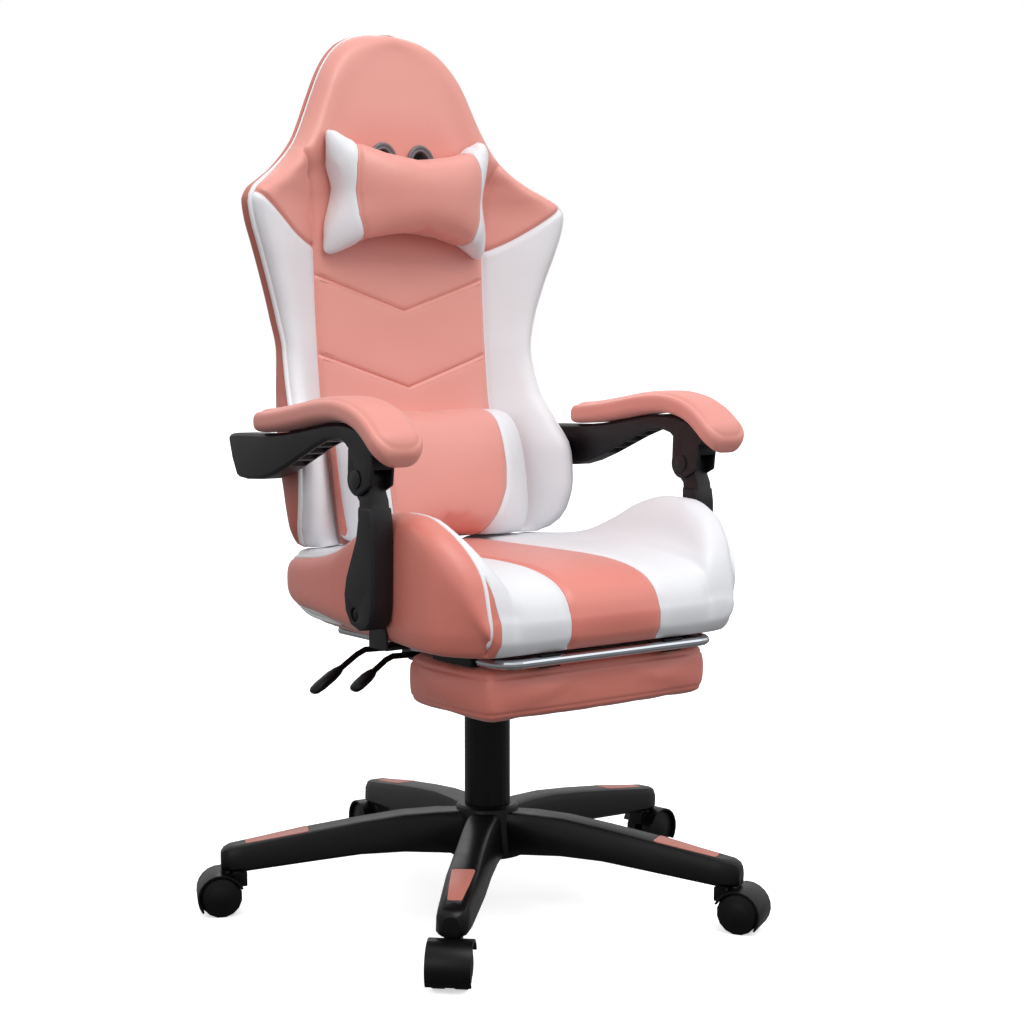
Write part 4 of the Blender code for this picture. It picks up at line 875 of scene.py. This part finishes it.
def build_seat():
    """The seat is one stuffed form, cut along its seams into panels that each close on themselves."""
    form = seat_form()
    even_out(form, 0.0038)
    relax(form, 6)
    form.data.shade_smooth()
    p = coords(form)
    side = np.abs(p[:, 0])
    top = np.clip((p[:, 2] - 0.42) / 0.03, 0, 1)
    front = p[:, 1] < -0.20
    seam = np.where(p[:, 0] > 0, seat_seam(p[:, 1], 1), seat_seam(p[:, 1], -1))
    sink = 0.0034 * bell(side - seam, 0.0050)
    sink += 0.0032 * bell(side - STRIPE, 0.0046) * np.maximum(top, front)
    sink -= 0.0035 * np.clip(1 - (side / STRIPE) ** 2, 0, 1) * top
    tuft = np.clip((side - STRIPE) / 0.02, 0, 1) * np.clip((0.165 - side) / 0.03, 0, 1)
    sink -= 0.0022 * tuft * top
    sink += 0.0026 * bell(side - 0.158, 0.0055) * np.clip((0.05 - p[:, 1]) / 0.05, 0, 1) * top
    bulge = np.clip((side - seam - 0.004) / 0.02, 0, 1)
    sink -= 0.0022 * bulge * np.clip((p[:, 2] - 0.41) / 0.02, 0, 1)
    under = p[:, 2] < 0.4035
    gullet = (side > 0.10) & (p[:, 1] > -0.140) & (p[:, 1] < -0.080)
    sink = np.where(under & ~gullet, 0.0, sink)
    move_along_normals(form, -sink)
    p = coords(form)
    strap = (np.abs(p[:, 0]) > 0.1015) & (p[:, 1] > -0.1345) & (p[:, 1] < -0.0855) & (p[:, 2] < 0.4100)
    p[:, 2] = np.where(strap, np.maximum(p[:, 2], 0.4034), np.maximum(p[:, 2], 0.3986))
    set_coords(form, p)

    def welt(sign):
        def line(y, z):
            under = np.clip((seat_low(y) + 0.0130 - z) / 0.008, 0, 1)
            return sign * (seat_seam(y, sign) - 0.060 * under * np.clip((y + 0.254) / 0.010, 0, 1))
        return line

    def gusset(y, z):
        return -seat_seam(y, -1) + np.where(y < -0.20, gusset_width(z), -0.05)

    def stripe(sign):
        return lambda y, z: np.full_like(y, sign * STRIPE)

    routes = {sign: seam_route(form, welt(sign)) for sign in (-1, 1)}
    for sign, tag in ((-1, "r"), (1, "l")):
        cheek = keep_side(form, "seat_side_" + tag, welt(sign), sign)
        place(cheek, "seat", "pink_leather", PINK, fill=0.6)
        rest = keep_side(form, "rest", welt(sign), -sign)
        if tag == "r":
            strip = keep_side(rest, "seat_gusset", gusset, sign)
            place(strip, "seat", "pink_leather", PINK, fill=0.6)
            inner = keep_side(rest, "inner", gusset, -sign)
            drop(rest)
            rest = inner
        white = keep_side(rest, "seat_panel_" + tag, stripe(sign), sign)
        place(white, "seat", "white_leather", WHITE, fill=0.6)
        drop(rest)
    right = keep_side(form, "middle", stripe(1), -1)
    middle = keep_side(right, "seat_stripe", stripe(-1), 1)
    drop(right, form)
    place(middle, "seat", "pink_leather", PINK, "seat_cushion", fill=0.6)

    for sign, tag in ((-1, "r"), (1, "l")):
        path = [p for p in routes[sign] if p[1] < SEAT_REAR - 0.004]
        path = path[:next(i for i, p in enumerate(path) if p[1] < 0 and p[2] < WELT_END_Z)]
        path, _ = smooth_path(path[::3], 150)
        for _ in range(6):
            path[1:-1] = 0.5 * path[1:-1] + 0.25 * (path[:-2] + path[2:])
        place(tube("seat_piping_" + tag, path, WELT_RADIUS), "seat", "white_leather", PIPING)


# ---- pillows ---------------------------------------------------------------------------------------
PILLOW_GAP = 0.0020         # pillow to backrest
PILLOW_SEAM = 0.0026        # depth of the seams beside its middle
PILLOW_SWELL = 0.006        # furthest that the filling pushes the cover


def pillow_form(name, rows, plump):
    """rows: half width, low z, high z and front bulge. The rear follows the backrest."""
    low_of = curve_of([(r[0], r[1]) for r in rows])
    high_of = curve_of([(r[0], r[2]) for r in rows])
    bulge_of = curve_of([(r[0], r[3]) for r in rows])
    end = rows[-1][0]
    stations = [-end * math.cos(math.pi * i / 60) for i in range(61)]
    rings = []
    for x in stations:
        side = abs(x)
        low, high, bulge = (float(f(side)) for f in (low_of, high_of, bulge_of))
        ring = []
        for i in range(28):
            v = i / 27
            z = low + (high - low) * v
            ring.append((x, float(padded_front(side, z)) - PILLOW_GAP, z))
        for i in range(1, 27):
            angle = math.pi * i / 27
            v = 0.5 + 0.5 * math.copysign(abs(math.cos(angle)) ** 0.80, math.cos(angle))
            z = low + (high - low) * v
            depth = bulge * math.sin(angle) ** plump
            ring.append((x, float(padded_front(side, z)) - PILLOW_GAP - depth, z))
        rings.append(ring)
    return loft(name, rings)


def build_pillow(name, rows, plump, end_of, voxel, gusset, waist):
    """A stuffed pillow with white ends; end_of gives the half width of its middle at a height."""
    form = pillow_form(name + "_form", rows, plump)
    inflate(form, voxel, PILLOW_SWELL, 5)
    p = coords(form)
    centre = (rows[0][1] + rows[0][2]) / 2
    out = np.clip((np.abs(p[:, 0]) / rows[-1][0] - 0.35) / 0.65, 0, 1) ** 2
    p[:, 0] *= 1 - waist * out * bell(p[:, 2] - centre, 0.036)
    rear = np.array([float(padded_front(abs(x), z)) for x, y, z in p]) - 0.0008
    p[:, 1] = np.minimum(p[:, 1], rear)
    set_coords(form, p)
    side = np.abs(p[:, 0])
    limit = end_of(p[:, 2], np.sign(p[:, 0]))
    facing = np.clip((rear - p[:, 1]) / 0.012, 0, 1)
    sink = PILLOW_SEAM * bell(side - limit, 0.0045) * facing
    sink += 0.0022 * bell(rear - p[:, 1] - gusset, 0.0040)
    move_along_normals(form, -sink)

    def border(sign):
        return lambda y, z: sign * end_of(z, sign)

    def flank(sign):
        def line(y, z):
            depth = padded_front(0.150 + 0 * z, z) - y
            return sign * (0.1500 + 2.0 * np.maximum(depth - 0.032, 0.0))
        return line

    for sign, tag in ((-1, "r"), (1, "l")):
        end = keep_side(form, name + "_end_" + tag, border(sign), sign)
        if name == "lumbar_pillow":
            strip = keep_side(end, name + "_gusset_" + tag, flank(sign), sign)
            place(strip, "back", "pink_leather", PINK, fill=0.7)
            cut = keep_side(end, "cut", flank(sign), -sign)
            drop(end)
            end = cut
            end.name = name + "_end_" + tag
        place(end, "back", "white_leather", WHITE, fill=0.7)
    part = keep_side(form, "part", border(1), -1)
    middle = keep_side(part, name + "_middle", border(-1), 1)
    drop(part)
    # the pillow's middle takes the painted-highlight copy of the pink leather
    place(middle, "back", "pink_leather", PINK_PAINTED_HIGHLIGHT, name, fill=0.7)
    drop(form)


def build_pillows():
    def lumbar_end(z, sign):
        heights = [0.500, 0.520, 0.545, 0.575, 0.605, 0.640, 0.665, 0.690]
        left = np.interp(z, heights, [0.056, 0.066, 0.080, 0.094, 0.099, 0.101, 0.103, 0.105])
        right = np.interp(z, heights, [0.094, 0.097, 0.100, 0.102, 0.103, 0.104, 0.105, 0.106])
        return np.where(sign > 0, left, right)

    def head_end(z, _):
        return np.interp(z, [0.900, 0.925, 0.955, 0.990, 1.025, 1.050, 1.070],
                         [0.084, 0.092, 0.102, 0.106, 0.105, 0.100, 0.094])

    head = [(0.0, 0.9310, 1.0440, 0.076), (0.045, 0.9265, 1.0485, 0.072), (0.085, 0.9170, 1.0570, 0.061),
            (0.115, 0.9060, 1.0690, 0.046), (0.130, 0.9010, 1.0755, 0.032), (0.137, 0.9020, 1.0750, 0.024),
            (0.1410, 0.9100, 1.0660, 0.015)]
    build_pillow("head_pillow", head, 0.60, head_end, 0.0042, 0.10, 0.115)
    lumbar = [(0.0, 0.5018, 0.6850, 0.084), (0.090, 0.5018, 0.6850, 0.080),
              (0.135, 0.5030, 0.6835, 0.070), (0.150, 0.5085, 0.6770, 0.054),
              (0.1555, 0.5160, 0.6680, 0.040), (0.1580, 0.5330, 0.6500, 0.024)]
    build_pillow("lumbar_pillow", lumbar, 0.45, lumbar_end, 0.0048, 0.030, 0.0)


# ---- armrests ----------------------------------------------------------------------------------
ARM_X = 0.2665
PAD_HALF = 0.0362
PAD_THICK = 0.0305
PANEL_HALF = 0.0290         # half width of the panel on top of the pad
PANEL_ROUND = 0.0220        # radius of its corners
PAD_LINE = [(0.1190, 0.6602), (0.1040, 0.6606), (0.0600, 0.6638), (0.0100, 0.6702), (-0.0350, 0.6770),
            (-0.0620, 0.6798), (-0.0880, 0.6804), (-0.1080, 0.6780), (-0.1260, 0.6736),
            (-0.1430, 0.6658), (-0.1590, 0.6542), (-0.1740, 0.6414), (-0.1885, 0.6286)]


def smooth_path(points, count):
    """Evenly spaced points on a Catmull-Rom curve through points."""
    pts = [np.array(p, float) for p in points]
    pts = [2 * pts[0] - pts[1]] + pts + [2 * pts[-1] - pts[-2]]
    dense = []
    for a, b, c, d in zip(pts, pts[1:], pts[2:], pts[3:]):
        dense += [between(a, b, c, d, n / 24) for n in range(24)]
    dense = np.array(dense + [pts[-2]])
    far = np.concatenate([[0], np.cumsum(np.linalg.norm(np.diff(dense, axis=0), axis=1))])
    even = np.linspace(0, far[-1], count)
    return np.stack([np.interp(even, far, dense[:, k]) for k in range(dense.shape[1])], axis=-1), even


def build_arm_pad(side, tag):
    """A moulded foam pad with a raised top panel inside a sunk seam."""
    path, along = smooth_path(PAD_LINE, 130)
    total = along[-1]
    step = np.gradient(path, axis=0)
    step /= np.linalg.norm(step, axis=1)[:, None]
    normal = np.stack([step[:, 1], -step[:, 0]], axis=-1)
    normal *= np.sign(normal[:, 1])[:, None]
    rings = []
    for i in range(len(path)):
        s = along[i]
        tail = min(1.0, s / 0.022)
        nose = min(1.0, (total - s) / 0.030)
        full = math.sqrt(max(0.0, 1 - (1 - tail) ** 2)) * math.sqrt(max(0.0, 1 - (1 - nose) ** 2))
        full = max(full, 0.04)
        half = PAD_HALF * (0.36 + 0.64 * full)
        ring = []
        for k in range(56):
            angle = 2 * math.pi * k / 56
            c, d = math.cos(angle), math.sin(angle)
            u = math.copysign(abs(c) ** 0.60, c)
            v = 0.5 + 0.5 * math.copysign(abs(d) ** 0.60, d)
            w = u * half
            qx = max(abs(w) - (PANEL_HALF - PANEL_ROUND), 0.0)
            qs = max(abs(s - total * 0.5) - (total * 0.5 - 0.0090 - PANEL_ROUND), 0.0)
            gap = math.hypot(qx, qs) - PANEL_ROUND
            lift = 0.0008 + v * PAD_THICK * full ** 0.8
            if v > 0.55:
                lift -= 0.0016 * math.exp(-(gap / 0.0019) ** 2) * full
                lift += 0.0012 * min(1.0, max(0.0, -gap / 0.010)) * full
            y, z = path[i] + normal[i] * lift
            ring.append((side * ARM_X + w, y, z))
        rings.append(ring)
    pad = loft("arm_cushion_" + tag, rings)
    subdivide(pad)
    place(pad, "arm_" + tag, "pad_leather", PAD, "arm_pad_" + tag, fill=0.8)


# ---- footrest ----------------------------------------------------------------------------------
REST_X = 0.1880
REST_Y = (-0.2550, -0.0620)
REST_Z = (0.3170, 0.3818)
REST_ROUND = 0.026          # radius of its upright corners


def build_footrest():
    """A flat stuffed block with a sewn seam round its upper and lower edges."""
    middle = (REST_Y[0] + REST_Y[1]) / 2
    deep = (REST_Y[1] - REST_Y[0]) / 2
    rings = []
    for i in range(25):
        angle = math.pi * i / 24
        rise = -math.cos(angle)
        z = (REST_Z[0] + REST_Z[1]) / 2 + math.copysign(abs(rise) ** 0.55, rise) * (REST_Z[1] - REST_Z[0]) / 2
        pull = 0.013 * (1 - math.sin(angle) ** 0.55)
        ring = []
        for k in range(96):
            a = 2 * math.pi * k / 96
            c, s = math.cos(a), math.sin(a)
            x = math.copysign(min(1.0, abs(c) * 1.42), c) * (REST_X - pull - REST_ROUND) + REST_ROUND * c
            y = math.copysign(min(1.0, abs(s) * 1.42), s) * (deep - pull - REST_ROUND) + REST_ROUND * s
            ring.append((x, middle + y, z))
        rings.append(ring)
    pad = loft("footrest_cushion", rings)
    inflate(pad, 0.0045, 0.0030, 14, pressure=3.0)
    p = coords(pad)
    p[:, 2] = np.clip(p[:, 2], 0.3135, 0.3820)
    set_coords(pad, p)
    sink = 0.0014 * bell(p[:, 2] - 0.3715, 0.0020) + 0.0010 * bell(p[:, 2] - 0.3265, 0.0020)
    move_along_normals(pad, -sink)
    place(pad, "footrest_flip", "pink_leather", PINK, "footrest_pad", fill=0.8)


# ---- hard parts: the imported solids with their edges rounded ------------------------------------
def refine(node, body, material, width, limit=33, shade=36):
    """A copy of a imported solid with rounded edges, which stands in for it."""
    source = bpy.data.objects[node]
    obj = add_object(node + "_look", source.data.copy())
    obj.data.transform(source.matrix_world)
    work = open_mesh(obj.data)
    bmesh.ops.remove_doubles(work, verts=work.verts, dist=MERGE)
    bmesh.ops.dissolve_limit(work, angle_limit=math.radians(0.5), verts=work.verts[:], edges=work.edges[:])
    close_mesh(work, obj.data)
    mod = obj.modifiers.new("round", "BEVEL")
    mod.width = width
    mod.segments = 3
    mod.limit_method = "ANGLE"
    mod.angle_limit = math.radians(limit)
    mod.use_clamp_overlap = True
    apply_modifiers(obj)
    obj.data.materials.clear()
    obj.data.materials.append(material)
    crease(obj, shade)
    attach(obj, body)
    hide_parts(node)


def build_hard_parts():
    refine("base_star", "base", BLACK, 0.0022)
    for i in range(1, 6):
        refine("base_inlay_%d" % i, "base", INLAY, 0.0006)
        refine("caster_fork_%d" % i, "caster_%d" % i, BLACK, 0.0012)
        refine("caster_wheels_%d" % i, "wheel_%d" % i, WHEEL, 0.0010)
    for tag in ("r", "l"):
        refine("armrest_" + tag, "arm_" + tag, CHARCOAL, 0.0012)
        refine("arm_post_" + tag, "post_" + tag, CHARCOAL, 0.0016)
        refine("knuckle_pin_" + tag, "arm_" + tag, CHARCOAL, 0.0003)
        refine("arm_pivot_" + tag, "back", CHARCOAL, 0.0004)
        refine("post_bolt_" + tag, "seat", BLACK, 0.0004)
        refine("arm_bracket_" + tag, "seat", PAINT, 0.0006)
        refine("footrest_guide_" + tag, "seat", PAINT, 0.0008)
    refine("mechanism_housing", "seat", PAINT, 0.0012)
    refine("height_lever", "height_lever", BLACK, 0.0006, limit=50, shade=60)
    refine("recline_lever", "recline_lever", BLACK, 0.0006, limit=50, shade=60)


def finish_cad_nodes():
    """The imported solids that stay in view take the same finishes."""
    looks = {"cover_lower": BLACK, "cover_middle": BLACK, "cover_upper": BLACK, "gas_cylinder": BLACK,
             "piston_rod": STEEL, "seat_board": BOARD, "hinge_frame": STEEL, "recline_shaft": STEEL,
             "back_bracket": STEEL, "footrest_tube": CHROME, "footrest_hinge_l": PAINT,
             "footrest_hinge_r": PAINT}
    for node, material in looks.items():
        mesh = bpy.data.objects[node].data
        mesh.materials.clear()
        mesh.materials.append(material)


# ---- stage -------------------------------------------------------------------------------------
def build_stage():
    floor = new_box((-60.0, -60.0, -0.02), (60.0, 60.0, 0.0))
    floor.name = "floor"
    mat, shader = shader_of("floor_paper", (0.93, 0.93, 0.93), 0.85)
    surface_detail(mat, shader, ((0.925, 0.925, 0.925), (0.935, 0.935, 0.935)), 3.0, (0.82, 0.90), 6.0,
                   [("grain", 60.0, 0.02, 0.0005)])
    shader.inputs["Emission Color"].default_value = (1.0, 1.0, 1.0, 1.0)
    shader.inputs["Emission Strength"].default_value = 0.55
    floor.data.materials.append(mat)
    floor.visible_diffuse = False
    floor.visible_glossy = False

    world = bpy.data.worlds.new("studio")
    world.use_nodes = True
    tree = world.node_tree
    sky = add(tree, "ShaderNodeTexCoord")
    height = add(tree, "ShaderNodeSeparateXYZ")
    ramp = add(tree, "ShaderNodeValToRGB")
    remap = add(tree, "ShaderNodeMapRange")
    remap.inputs["From Min"].default_value = -1.0
    tones = ((0.0, 0.10), (0.42, 0.26), (0.52, 0.50), (0.72, 0.80), (1.0, 1.10))
    elements = ramp.color_ramp.elements
    for number, (spot, tone) in enumerate(tones):
        element = elements[number] if number < 2 else elements.new(spot)
        element.position = spot
        element.color = (tone, tone, tone * 1.01, 1.0)
    tree.links.new(sky.outputs["Generated"], height.inputs["Vector"])
    tree.links.new(height.outputs["Z"], remap.inputs["Value"])
    tree.links.new(remap.outputs["Result"], ramp.inputs["Fac"])
    tree.links.new(ramp.outputs["Color"], tree.nodes["Background"].inputs["Color"])
    tree.nodes["Background"].inputs["Strength"].default_value = 1.0
    bpy.context.scene.world = world
    backdrop = add(tree, "ShaderNodeBackground", Strength=1.0, Color=(1.0, 1.0, 1.0, 1.0))
    rays = add(tree, "ShaderNodeLightPath")
    mix = add(tree, "ShaderNodeMixShader")
    tree.links.new(rays.outputs["Is Camera Ray"], mix.inputs[0])
    tree.links.new(tree.nodes["Background"].outputs[0], mix.inputs[1])
    tree.links.new(backdrop.outputs[0], mix.inputs[2])
    tree.links.new(mix.outputs[0], tree.nodes["World Output"].inputs["Surface"])
    bpy.context.scene.view_settings.view_transform = "Standard"
    bpy.context.scene.view_settings.look = "None"

    lamps = (("key", (-0.2, -1.7, 3.3), 1.8, 42.0), ("fill", (2.5, -2.3, 2.2), 2.6, 14.0),
             ("left", (-2.8, -1.4, 1.5), 1.6, 7.0), ("rim", (1.2, 2.6, 2.4), 1.6, 10.0))
    aim = Vector((0.0, 0.0, 0.65))
    for name, spot, size, power in lamps:
        data = bpy.data.lights.new(name, "AREA")
        data.energy = power
        data.size = size
        lamp = add_object(name, data)
        lamp.location = spot
        lamp.rotation_euler = (aim - Vector(spot)).to_track_quat("-Z", "Y").to_euler()

    data = bpy.data.cameras.new("photo_view")
    data.lens = 63.62
    data.sensor_width = 36.0
    camera = add_object("photo_view", data)
    heading, dip = math.radians(-36.945), math.radians(-5.035)
    ahead = Vector((-math.sin(heading) * math.cos(dip), math.cos(heading) * math.cos(dip), math.sin(dip)))
    right = Vector((math.cos(heading), math.sin(heading), 0.0))
    up = right.cross(ahead)
    matrix = Matrix((right, up, -ahead)).transposed().to_4x4()
    matrix.translation = FLOOR_ORIGIN + Vector((-1.4535, -1.9896, 0.7540))
    camera.matrix_world = matrix
    bpy.context.scene.camera = camera


build_backrest()
build_bezels()
build_seat()
build_pillows()
for hand, name in ((-1, "r"), (1, "l")):
    build_arm_pad(hand, name)
build_footrest()
build_hard_parts()
finish_cad_nodes()
build_stage()
